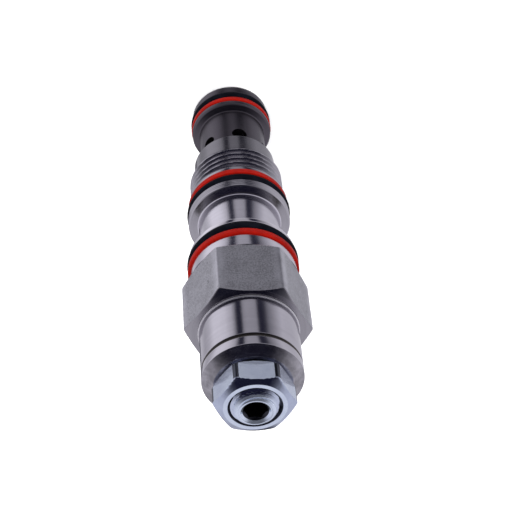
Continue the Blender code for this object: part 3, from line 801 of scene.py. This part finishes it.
class PieceMaker:
    """What the operators share: build() makes the pieces from the sidebar's sizes."""

    def execute(self, context):
        self.build(context.scene.valve_sizes)
        return {"FINISHED"}


def boolean_cut(made, cutters):
    """Take the cutters away from a piece."""
    for cutter in cutters:
        step = made.modifiers.new("cut", "BOOLEAN")
        step.operation, step.solver, step.object = "DIFFERENCE", "EXACT", cutter
    plain(made)
    for cutter in cutters:
        mesh = cutter.data
        bpy.data.objects.remove(cutter)
        bpy.data.meshes.remove(mesh)


def bulge_ring(name, outer, section_r, section_z, middle_z, power):
    """A ring with a rounded section: power 2 is an ellipse, more is boxier."""
    angles = np.linspace(0, math.tau, 40, endpoint=False)
    cosine, sine = np.cos(angles), np.sin(angles)
    shape = np.stack([np.sign(cosine) * np.abs(cosine) ** (2 / power),
                      np.sign(sine) * np.abs(sine) ** (2 / power)], 1)
    points = np.stack([outer - section_r / 2 + shape[:, 0] * section_r / 2,
                       middle_z + shape[:, 1] * section_z / 2], 1)
    return revolve(name, points, True, SEAL_FACETS)


def seal(node, finish, slot, power):
    """A ring that fills the box of its CAD node."""
    bottom, top, outer = low(node), high(node), radius_of(node)
    made = bulge_ring(node + "_ring", outer, outer - inner_radius(node), top - bottom,
                      (bottom + top) / 2, power)
    finished(made, finish, "valve_body", slot, node)


def inner_radius(node):
    """Inner radius of a CAD ring, read from its mesh."""
    spots = vectors(bpy.data.objects[node].data.vertices, "co")
    return float(np.hypot(spots[:, 0], spots[:, 1]).min())


def body_heights(s):
    """Heights down the body: upper land's two ends, middle land's foot, rim's two ends, thread's two ends."""
    land_top = low("upper_o_ring") - GAP
    middle_bottom = high("middle_o_ring") + GAP
    rim_top = low("middle_backup_ring") - GAP
    rim_bottom = rim_top - s.rim
    return (land_top, land_top - s.upper_land, middle_bottom, rim_top, rim_bottom,
            rim_bottom - s.thread_relief, BODY_END + s.lead)


def body_outline(s):
    """Half-section of the body, down the outside from the hexagon's top and up the bore."""
    land_top, land_end, middle_bottom, rim_top, rim_bottom, thread_top, thread_bottom = body_heights(s)
    edge = s.edge
    seat = high("upper_backup_ring") + GAP
    middle_top = middle_bottom + s.middle_land
    corner = corner_of(s.hex_flats)
    top_r, bottom_r = 11.2 * MM, 11.0 * MM
    groove_r = inner_radius("upper_o_ring") - FIT
    middle_r = inner_radius("middle_o_ring") - FIT
    relief_r = s.thread_radius - 0.95 * MM
    scratch = ((0.0, 0.14 * MM), (0.09 * MM, 0.04 * MM), (0.09 * MM, -0.04 * MM), (0.0, -0.14 * MM))
    return [
        (top_r, HEX_TOP, CRISP),
        (corner + 0.1 * MM, HEX_TOP - s.hex_chamfer * 1.06, 0.25 * MM),
        (corner + 0.1 * MM, s.hex_chamfer * 1.06, 0.25 * MM),
        (bottom_r + 0.2 * MM, 0.0, CRISP),
        (bottom_r, -0.02 * MM, 0.0),
        (s.collar_radius, seat, edge),
        (groove_r, seat, KEEN),
        (groove_r, land_top, SOFT),
        (s.collar_radius, land_top, edge),
        (s.collar_radius, land_end, EASY),
        (s.waist_radius, land_end, 0.35 * MM),
        (s.waist_radius, middle_top, 0.35 * MM),
        (s.middle_radius - 0.3 * MM, middle_top, KEEN),
        (s.middle_radius, middle_top - 0.3 * MM, edge),
        *[(s.middle_radius - depth, middle_bottom + (2 - k) * 0.5 * MM + 0.42 * MM + lift, 0.03 * MM)
          for k in range(3) for depth, lift in scratch],
        (s.middle_radius, middle_bottom, edge),
        (middle_r, middle_bottom, SOFT),
        (middle_r, rim_top, KEEN),
        (s.rim_radius, rim_top, edge * 0.8),
        (s.rim_radius, rim_bottom, edge * 0.8),
        (relief_r, rim_bottom, SOFT),
        (relief_r, thread_top, KEEN),
        (s.thread_radius, thread_top - 0.6 * MM, KEEN),
        (s.thread_radius, thread_bottom + 0.6 * MM, KEEN),
        (s.lead_radius, thread_bottom, SOFT),
        (s.lead_radius, BODY_END + 0.3 * MM, edge),
        (s.lead_radius - 0.3 * MM, BODY_END, KEEN),
        (s.chamber_radius, BODY_END, KEEN),
        (s.chamber_radius, GUIDE_LOW, KEEN),
        (GUIDE_BORE, GUIDE_LOW, KEEN),
        (GUIDE_BORE, GUIDE_HIGH, KEEN),
        (s.chamber_radius, GUIDE_HIGH, KEEN),
        (s.chamber_radius, SPIGOT_FLOOR, KEEN),
        (SPIGOT_BORE, SPIGOT_FLOOR, KEEN),
        (SPIGOT_BORE, HEX_TOP, 0.15 * MM),
    ]


def paint_zones(made, base, *zones):
    """Give every face the base finish, then others by zone.

    A zone is a finish and a test on the radius, the height and the upward part of the normal.
    """
    mesh = made.data
    names = list(dict.fromkeys([base, *(finish for finish, _ in zones)]))
    mesh.materials.clear()
    for finish in names:
        mesh.materials.append(FINISHES.get(finish))
    centres = vectors(mesh.polygons, "center")
    up = vectors(mesh.polygons, "normal")[:, 2]
    radius = np.hypot(centres[:, 0], centres[:, 1])
    index = np.zeros(len(centres), dtype=np.int32)
    for finish, test in zones:
        index[test(radius, centres[:, 2], up)] = names.index(finish)
    mesh.polygons.foreach_set("material_index", index)


class ValveBody(PieceMaker, bpy.types.Operator):
    """Turn the hexagon body with its lands, seal grooves and locating thread"""
    bl_idname = "valve.body"
    bl_label = "Hexagon body"

    def build(self, s):
        rim_high, rim_low, middle_bottom, _, _, thread_high, thread_low = body_heights(s)
        land_high = middle_bottom + s.middle_land + 0.05 * MM
        points = densified(rounded(body_outline(s)), True, [
            (thread_low - 0.1 * MM, thread_high + 0.1 * MM, s.thread_pitch / 22),
            (-0.1 * MM, s.hex_chamfer * 1.1, 0.22 * MM),
            (s.hex_chamfer * 1.1, HEX_TOP - s.hex_chamfer * 1.1, 1.2 * MM),
            (HEX_TOP - s.hex_chamfer * 1.1, HEX_TOP + 0.1 * MM, 0.1 * MM)])
        rule = flats_rule(s.hex_flats, s.hex_round, 0.0, HEX_TOP, HEX_INNER)
        made = revolve("hexagon_body", points, True, s.facets, rule)
        mark_thread(made, thread_low + 0.1 * MM, thread_high - 0.1 * MM, 0.8 * MM, 8.0 * MM)
        grown(made, thread_tree, {"Major radius": s.thread_radius, "Pitch": s.thread_pitch,
                                  "Depth": 0.88 * MM, "Crest": 0.13, "Root": 0.22}, "body_steel")
        tidy_mesh(made, 32.0)
        ports = []
        for side in (-1, 1):
            port = revolve("port_cutter", np.array([
                (0, 4 * MM), (PORT_RADIUS, 4 * MM), (PORT_RADIUS, 1.0 * MM),
                (PORT_RADIUS, -8 * MM), (0, -8 * MM)]), True, PORT_FACETS)
            port.matrix_world = (Matrix.Translation((side * PORT_PLACE, 0, PORT_HEIGHT))
                                 @ Matrix.Rotation(side * math.pi / 2, 4, "Y"))
            ports.append(port)
        boolean_cut(made, ports)
        tidy_mesh(made, 32.0)
        waist = s.waist_radius + 0.1 * MM

        def hex_side(r, z, up):
            return (z > 0.0) & (z < HEX_TOP) & (r > HEX_INNER) & (np.abs(up) < 0.2)

        # Painted shade: the chamfers take the darker steel
        def hex_chamfer(r, z, up):
            return (z > -0.05 * MM) & (r > HEX_INNER) & (np.abs(up) >= 0.2)

        # Painted highlight: the upper land's outer face is lighter steel
        def rim_side(r, z, up):
            return (r > s.collar_radius - 0.32 * MM) & (z > rim_low - 0.01 * MM) & (z < rim_high)

        # Painted shade: the land's underside is dark steel, so the waist above mirrors a dark line
        def rim_underside(r, z, up):
            return (r > waist) & (np.abs(z - rim_low) < 0.4 * MM) & (up < -0.6)

        paint_zones(made, "body_steel", ("chamfer_steel", hex_chamfer), ("hexagon_steel", hex_side),
                    ("land_steel", lambda r, z, up: (z < land_high) & (r > waist)),
                    ("rim_steel", rim_side), ("groove_steel", rim_underside),
                    ("thread_steel", lambda r, z, up: z < thread_high),
                    ("collar_steel", lambda r, z, up: z < thread_low + 0.1 * MM),
                    ("inner_steel", lambda r, z, up: r < BORE_ZONE))
        finished(made, None, "valve_body", "body_steel", "hex_body")


class ValveSleeve(PieceMaker, bpy.types.Operator):
    """Turn the nose sleeve with its seal groove, and drill its side holes"""
    bl_idname = "valve.sleeve"
    bl_label = "Nose sleeve"

    def build(self, s):
        r, end = s.sleeve_radius, s.nose_end_radius
        land_bottom = high("nose_backup_ring") + GAP
        root = inner_radius("nose_o_ring") - FIT
        rim_top = low("nose_o_ring") - GAP
        snap_top, snap_bottom = high("nose_snap_ring") + GAP, low("nose_snap_ring") - GAP
        snap_r, snap_edge = s.nose_bore + 0.5 * MM, 0.06 * MM
        outline = [
            (r, high("nose_sleeve"), 0.15 * MM),
            (r, land_bottom + 1.8 * MM, 0.4 * MM),
            (s.nose_land_radius - 0.35 * MM, land_bottom + 1.35 * MM, SOFT),
            (s.nose_land_radius, land_bottom + 0.9 * MM, EASY),
            (s.nose_land_radius, land_bottom, s.edge),
            (root, land_bottom, SOFT),
            (root, rim_top, KEEN),
            (end, rim_top, s.edge),
            (end, NOSE_END + 0.55 * MM, EASY),
            (end - 0.5 * MM, NOSE_END, EASY),
            (s.nose_bore + 0.25 * MM, NOSE_END, CRISP),
            (s.nose_bore, NOSE_END + 0.25 * MM, CRISP),
            (s.nose_bore, snap_bottom, snap_edge),
            (snap_r, snap_bottom, snap_edge),
            (snap_r, snap_top, snap_edge),
            (s.nose_bore, snap_top, snap_edge),
            (s.nose_bore, SLEEVE_STEP, KEEN),
            (SLEEVE_BORE, SLEEVE_STEP, KEEN),
            (SLEEVE_BORE, SLEEVE_SHOULDER, KEEN),
            (SLEEVE_SEAT, SLEEVE_SHOULDER, KEEN),
            (SLEEVE_SEAT, high("nose_sleeve"), KEEN),
        ]
        points = densified(rounded(outline), True, [(-46.5 * MM, -37.5 * MM, 0.5 * MM)])
        made = revolve("nose_sleeve_turned", points, True, s.facets)
        drills = []
        hole = s.side_hole
        wall = r - 0.02 * MM
        break_edge = 0.06 * MM
        profile = rounded([(0, 4 * MM, 0), (hole + break_edge + 4 * MM * 0.6, 4 * MM, 0),
                           (hole, 0.10 * MM, 0.3 * MM), (hole, -5 * MM, 0), (0, -5 * MM, 0)], True, 5)
        for i in range(HOLES):
            drill = revolve("side_drill", profile, True, DRILL_FACETS)
            drill.matrix_world = (Matrix.Rotation(math.radians(FIRST_HOLE + 360 // HOLES * i), 4, "Z")
                                  @ Matrix.Translation((wall - break_edge - 0.05 * MM, 0, HOLE_HEIGHT))
                                  @ Matrix.Rotation(math.pi / 2, 4, "Y"))
            drills.append(drill)
        boolean_cut(made, drills)
        tidy_mesh(made, 35.0)
        paint_zones(made, "sleeve_steel", ("inner_steel", lambda r, z, up: r < 5.0 * MM))
        finished(made, None, "valve_body", "sleeve_steel", "nose_sleeve")


class ValveSeals(PieceMaker, bpy.types.Operator):
    """Mould the O-rings and turn the red backup rings"""
    bl_idname = "valve.seals"
    bl_label = "Seals"

    def build(self, s):
        for name in ("upper", "middle", "nose"):
            seal(name + "_o_ring", "seal_rubber", "seal_rubber", 2.25)
            seal(name + "_backup_ring", "backup_plastic", "backup_ring", 5.0)


class ValveCap(PieceMaker, bpy.types.Operator):
    """Turn the polished spring cap with its groove and chamfer"""
    bl_idname = "valve.cap"
    bl_label = "Spring cap"

    def build(self, s):
        face, bottom = high("spring_cap"), HEX_TOP + 0.06 * MM
        r, root = CAP_RADIUS, CAP_RADIUS - s.cap_groove_depth
        bead, bead_edge = CAP_RADIUS + 0.2 * MM, 0.05 * MM
        middle, half = face - s.cap_groove_drop, s.cap_groove_width / 2
        outline = [
            (s.cap_face_radius, face, CRISP),
            (r, face - s.cap_chamfer, 0.25 * MM),
            (r, middle + half, 0.14 * MM),
            (root, middle + half * 0.5, SOFT),
            (root, middle - half * 0.5, SOFT),
            (r, middle - half, 0.14 * MM),
            (r, bottom + 0.34 * MM, 0.04 * MM),
            (bead, bottom + 0.2 * MM, bead_edge),
            (bead, bottom, bead_edge),
            (CAP_SPIGOT, bottom, bead_edge),
            (CAP_SPIGOT, CAP_FLOOR, KEEN),
            (CAP_BORE, CAP_FLOOR, KEEN),
            (CAP_BORE, CAP_CEILING, SOFT),
            (CAP_THREAD, CAP_CEILING, KEEN),
            (CAP_THREAD, face, KEEN),
        ]
        made = revolve("spring_cap_turned", rounded(outline), True, s.facets)

        # Painted highlight: the foot's bead is lighter steel
        def foot(radius, z, up):
            return (radius > r + 0.02 * MM) & (z < bottom + 0.4 * MM)

        # Painted shade: the groove's floor and walls are dark steel
        def groove(radius, z, up):
            return (radius < r - 0.1 * MM) & (radius > 9.0 * MM) & (np.abs(z - middle) < half)

        def front(radius, z, up):
            return (z > face - s.cap_chamfer - 0.05 * MM) & (radius > 4.85 * MM)

        paint_zones(made, "polished_steel", ("worn_steel", foot), ("groove_steel", groove),
                    ("cap_chamfer", front))
        finished(made, None, "valve_body", "cap_steel", "spring_cap")


class ValveScrew(PieceMaker, bpy.types.Operator):
    """Cut the adjusting set screw with its hexagon socket and thread"""
    bl_idname = "valve.screw"
    bl_label = "Adjusting screw"

    def build(self, s):
        top, bottom = high("adjusting_screw"), low("adjusting_screw")
        r = radius_of("adjusting_screw")
        half, corner = s.socket_flats / 2, corner_of(s.socket_flats)
        deep = top - s.socket_depth
        mouth, mouth_depth = 2.95 * MM, 1.5 * MM
        outline = [
            (0.0, bottom, 0.0),
            (3.2 * MM, bottom, SOFT),
            (3.6 * MM, bottom + 0.4 * MM, SOFT),
            (3.6 * MM, bottom + 1.4 * MM, KEEN),
            (r, bottom + 2.2 * MM, KEEN),
            (r, top - 1.45 * MM, SOFT),
            (3.5 * MM, top - 0.16 * MM, KEEN),
            (3.3 * MM, top, KEEN),
            (mouth, top, CRISP),
            (corner, top - mouth_depth, 0.0),
            (corner, deep, 0.0),
            (half * 0.9, deep - 0.15 * MM, 0.0),
            (0.0, deep - 1.2 * MM, 0.0),
        ]
        points = densified(rounded(outline, False), False, [
            (bottom + 2.2 * MM, top, s.screw_pitch / 20), (deep, top - 1.0 * MM, 0.2 * MM)])

        def rule(radius, z, theta):
            """Run the thread out over the screw's tapered end, and cut the socket with its turned mouth."""
            phase = z / s.screw_pitch - theta / math.tau
            groove = (0.5 - 0.5 * np.cos(math.tau * phase)) ** 0.8
            taper = (np.clip((z - top + 1.6 * MM) / (0.2 * MM), 0, 1)
                     * np.clip((radius - 3.2 * MM) / (0.3 * MM), 0, 1))
            radius = radius - 0.6 * MM * groove * taper
            inside = (z > deep - 0.01 * MM) & (radius < mouth + 0.01 * MM) & (z < top - 0.01 * MM)
            cone = mouth - (mouth - corner) * np.clip((top - z) / mouth_depth, 0, 1)
            flats = hexagon_radius(s.socket_flats, theta, 400.0)
            opened = np.where(z > top - mouth_depth, np.maximum(flats, mouth - (top - z)), flats)
            cut = np.maximum(np.minimum(radius, flats), opened)
            return np.where(inside & (radius < cone + 0.02 * MM), cut, radius)

        made = revolve("adjusting_set_screw", points, False, SCREW_FACETS, rule)
        mark_thread(made, bottom + 1.8 * MM, top - 0.06 * MM, 0.3 * MM, 3.4 * MM)
        grown(made, thread_tree, {"Major radius": r, "Pitch": s.screw_pitch, "Depth": 0.55 * MM,
                                  "Crest": 0.22, "Root": 0.2}, "zinc_plate")
        tidy_mesh(made, 30.0)

        def cut_thread(radius, z, up):
            return (radius > 3.9 * MM) & (z > bottom + 1 * MM)

        # Painted shade: the socket's walls and floor are near-black
        def socket(radius, z, up):
            return (radius < 2.75 * MM) & (z > bottom + 1 * MM) & (z < top - 0.45 * MM)

        paint_zones(made, "zinc_plate", ("thread_plate", cut_thread), ("socket_steel", socket))
        finished(made, None, "screw", "zinc_plate", "adjusting_screw")


class ValveNut(PieceMaker, bpy.types.Operator):
    """Form the zinc-plated lock nut"""
    bl_idname = "valve.nut"
    bl_label = "Lock nut"

    def build(self, s):
        top, bottom = high("lock_nut"), low("lock_nut")
        corner = corner_of(s.nut_flats)
        hole = radius_of("adjusting_screw") + 0.09 * MM
        chamfer = math.tan(math.radians(30))
        face, low_face = s.nut_flats / 2 - s.nut_chamfer, s.nut_flats / 2 - 0.35 * MM
        outline = [
            (face, top, CRISP),
            (corner + 0.05 * MM, top - (corner - face) * chamfer, CRISP),
            (corner + 0.05 * MM, bottom + (corner - low_face) * chamfer, CRISP),
            (low_face, bottom, CRISP),
            (hole + 0.25 * MM, bottom, 0.0),
            (hole, bottom + 0.3 * MM, 0.0),
            (hole, top - 0.45 * MM, 0.0),
            (hole + 0.38 * MM, top, 0.04 * MM),
        ]
        points = densified(rounded(outline), True, [(bottom, top, 0.3 * MM)])
        rule = flats_rule(s.nut_flats, 0.16 * MM, bottom, top, 5.4 * MM, 42.0)
        made = revolve("hexagon_lock_nut", points, True, s.facets, rule)
        tidy_mesh(made, 32.0)

        # Painted reflection: dark strips on the flats just inside each corner
        def beside_corner(radius, z, up):
            return (radius > corner - 0.3 * MM) & (radius < corner - 0.11 * MM) & (np.abs(up) < 0.3)

        # Painted shade: the turned chamfers take the darker zinc
        def turned_chamfer(radius, z, up):
            return (radius > face - 0.02 * MM) & (np.abs(up) > 0.45) & (np.abs(up) < 0.97)

        # Painted shade: the bore and its countersink are near-black, a dark gap round the screw
        def bore(radius, z, up):
            return (radius < hole + 0.36 * MM) & (np.abs(up) < 0.97)

        paint_zones(made, "zinc_plate", ("zinc_edge", beside_corner), ("zinc_chamfer", turned_chamfer),
                    ("socket_steel", bore))
        finished(made, None, "nut", "zinc_plate", "lock_nut")


def small_ring(name, node, body, outline, *turn):
    """Turn a ring of ground steel in place of a CAD node."""
    made = revolve(name, rounded(outline, True, 3), True, *turn)
    finished(made, "inner_steel", body, "inner_steel", node)


class ValveInside(PieceMaker, bpy.types.Operator):
    """Coil both springs and turn the pieces seen through the nose port"""
    bl_idname = "valve.inside"
    bl_label = "Springs and nose pieces"

    def build(self, s):
        bottom, top = low("main_spring"), high("main_spring")
        level = (bottom + top) / 2
        main = spring("relief_spring_lower", COIL_RADIUS, s.wire, COIL_TURNS, bottom, top)
        upper = cut_across(main, "relief_spring_upper", level)
        stretched(main, "spring_steel", "relief", "valve_body", bottom, level, "main_spring")
        stretched(upper, "spring_steel", "valve_body", "carrier", level, top)
        bottom, top = low("check_spring"), high("check_spring")
        small = spring("check_valve_spring", CHECK_COIL_RADIUS, CHECK_WIRE, CHECK_TURNS, bottom, top)
        finished(small, None, "check", "spring_steel", "check_spring")
        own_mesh(small)
        outer, inner = 5.35 * MM, 3.2 * MM
        top, bottom = high("check_seat"), low("check_seat")
        small_ring("check_seat_turned", "check_seat", "check", [
            (3.9 * MM, top, 0.15 * MM), (outer, top, SOFT), (outer, bottom, SOFT),
            (inner, bottom, SOFT), (inner, top - 0.75 * MM, KEEN)], RING_FACETS)
        top, bottom = high("check_spring_retainer"), low("check_spring_retainer")
        small_ring("spring_retainer_turned", "check_spring_retainer", "valve_body", [
            (outer, top, CRISP), (outer, bottom, CRISP), (inner, bottom, SOFT),
            (inner, top, CRISP)], RING_FACETS)
        top, bottom = high("nose_snap_ring"), low("nose_snap_ring")
        outer, inner = 5.8 * MM, 4.3 * MM
        mouth = math.asin(CLIP_GAP / CLIP_MIDDLE)
        small_ring("snap_ring_coined", "nose_snap_ring", "valve_body", [
            (outer, top, CRISP), (outer, bottom, CRISP), (inner, bottom, CRISP), (inner, top, CRISP)],
            CLIP_FACETS, None, math.pi / 2 + mouth, math.tau - 2 * mouth)
        for node in ("relief_poppet", "stem_guide", "pilot_piston", "lower_spring_seat", "spring_carrier"):
            repaint(node, "inner_steel")
        for node in ("cap_seal", "stem_seal", "pilot_o_ring", "carrier_o_ring"):
            repaint(node, "seal_rubber")
        for node in ("stem_backup_ring", "pilot_backup_ring", "carrier_backup_ring"):
            repaint(node, "backup_plastic")


def repaint(node, finish):
    """Give a carried-over CAD node a finish."""
    for slot in bpy.data.objects[node].material_slots:
        slot.material = FINISHES.get(finish)


# ---- Stage -----------------------------------------------------------------------------------


def area_light(name, place, size, power):
    """A soft round light that faces the hexagon; metal doesn't mirror it."""
    lamp = bpy.data.lights.new(name, "AREA")
    lamp.shape, lamp.size, lamp.energy = "DISK", size, power
    made = bpy.data.objects.new(name, lamp)
    bpy.context.scene.collection.objects.link(made)
    made.visible_glossy = False
    made.location = place
    made.rotation_euler = (-Vector(place)).to_track_quat("-Z", "Y").to_euler()


def studio_world():
    """White room: soft even light, and bands and a dark flag behind the camera for metal to mirror."""
    world = bpy.data.worlds.new("studio")
    bpy.context.scene.world = world
    world.use_nodes = True
    world.node_tree.nodes.clear()
    graph = Graph(world.node_tree)
    x, y, z = split(graph, graph.add("ShaderNodeTexCoord").outputs["Generated"])
    turn = (y.op("ARCTAN2", x) / math.tau + 0.5).op("FRACT")

    def spot(degrees):
        return (degrees / 360 + 0.5) % 1.0

    def cool(level):
        """A slightly blue grey."""
        return (level * 0.98, level * 0.965, level * 1.03 + 0.014)

    def ramp(stops, share):
        return graph.add("ShaderNodeValToRGB", {
            "stops": [(place, cool(level)) for place, level in stops]}, {0: share}).outputs[0]

    bands = [
        (-179, 0.54), (-161, 0.56), (-145, 0.38), (-129, 0.20), (-121, 0.05), (-113, 0.02), (-107, 0.04),
        (-102, 0.31), (-97, 0.34), (-81, 0.37), (-74, 0.30), (-70, 0.04), (-65, 0.02), (-60, 0.04),
        (-54, 0.32), (-49, 0.50), (-33, 0.72), (-17, 0.78), (-1, 0.78), (15, 0.54), (31, 0.44),
        (58, 0.62), (65, 0.10), (72, 0.06), (77, 0.42), (90, 0.50), (95, 0.06), (102, 0.10), (109, 0.66),
        (135, 0.56), (167, 0.54), (179, 0.54)]
    side = ramp(sorted((spot(degrees), level) for degrees, level in bands), turn)
    azimuth = math.radians(CAMERA_AZIMUTH)
    flag = Vector((math.sin(azimuth), -math.cos(azimuth), math.tan(math.radians(67.0))))
    flag.normalize()
    toward = (x * flag.x + y * flag.y + z * flag.z) * 0.5 + 0.5
    overhead = ramp([(0.0, 0.60), (0.40, 0.66), (0.56, 0.70), (0.70, 0.64), (0.78, 0.44), (0.84, 0.20),
                     (0.89, 0.06), (0.93, 0.012)], toward)
    glossy = mix_colours(graph, z.between(-0.16, 0.04), side, overhead)
    glossy = mix_colours(graph, (z * -1.0).between(0.87, 0.93), glossy, cool(0.60))
    path = graph.add("ShaderNodeLightPath")
    shade = mix_colours(graph, graph.number(path, "Is Glossy Ray"), (0.75, 0.75, 0.77), glossy)
    shade = mix_colours(graph, graph.number(path, "Is Camera Ray"), shade, (1.0, 1.0, 1.0))
    light = graph.add("ShaderNodeBackground", None, {"Color": shade, "Strength": 1.0})
    graph.add("ShaderNodeOutputWorld", None, {"Surface": light.outputs[0]})


class ValveStage(PieceMaker, bpy.types.Operator):
    """Lay the floor, light the studio and set up the camera"""
    bl_idname = "valve.stage"
    bl_label = "Studio"

    def build(self, s):
        scene = bpy.context.scene
        scene.view_settings.view_transform = "Standard"
        half, level = FLOOR_HALF, NOSE_END - FIT
        mesh = bpy.data.meshes.new("floor")
        mesh.from_pydata([(-half, -half, level), (half, -half, level),
                          (half, half, level), (-half, half, level)], [], [(0, 1, 2, 3)])
        floor = bpy.data.objects.new("floor", mesh)
        scene.collection.objects.link(floor)
        mesh.materials.append(FINISHES.get("pale_floor"))
        floor.visible_glossy = False
        studio_world()
        area_light("key_light", (0.25, -0.45, 0.55), 0.35, 6.0)
        area_light("fill_light", (-0.5, 0.1, 0.45), 0.5, 4.0)
        camera = bpy.data.cameras.new("camera")
        camera.lens, camera.sensor_width = CAMERA_LENS, SENSOR
        camera.clip_start, camera.clip_end = 0.01, 10.0
        holder = bpy.data.objects.new("camera", camera)
        scene.collection.objects.link(holder)
        azimuth, elevation, roll = map(math.radians, (CAMERA_AZIMUTH, CAMERA_ELEVATION, CAMERA_ROLL))
        toward = Vector((-math.sin(azimuth) * math.cos(elevation), math.cos(azimuth) * math.cos(elevation),
                         -math.sin(elevation)))
        upright = toward.to_track_quat("-Z", "Y").to_matrix().to_4x4()
        holder.matrix_world = Matrix.Translation(CAMERA_PLACE) @ upright @ Matrix.Rotation(roll, 4, "Z")
        scene.camera = holder


class ValvePanel(bpy.types.Panel):
    """Sidebar panel with the valve's sizes, colours and pieces"""
    bl_idname = "VALVE_PT_pieces"
    bl_label = "Cartridge Valve"
    bl_space_type = "VIEW_3D"
    bl_region_type = "UI"
    bl_category = "Valve"

    def draw(self, context):
        layout = self.layout
        for kind in OPERATORS:
            layout.operator(kind.bl_idname)
        for group in (context.scene.valve_sizes, context.scene.valve_colours):
            box = layout.box()
            for key in group.bl_rna.properties.keys():
                if key not in ("rna_type", "name"):
                    box.prop(group, key)


OPERATORS = (ValveBody, ValveSleeve, ValveSeals, ValveCap, ValveScrew, ValveNut, ValveInside, ValveStage)
CLASSES = (ValveSizes, ValveColours, *OPERATORS, ValvePanel)


def register():
    for kind in CLASSES:
        bpy.utils.register_class(kind)
    bpy.types.Scene.valve_sizes = PointerProperty(type=ValveSizes)
    bpy.types.Scene.valve_colours = PointerProperty(type=ValveColours)


def unregister():
    del bpy.types.Scene.valve_colours
    del bpy.types.Scene.valve_sizes
    for kind in reversed(CLASSES):
        bpy.utils.unregister_class(kind)


def main():
    register()
    for kind in OPERATORS:
        group, action = kind.bl_idname.split(".")
        getattr(getattr(bpy.ops, group), action)()
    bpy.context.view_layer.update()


if __name__ == "__main__":
    main()
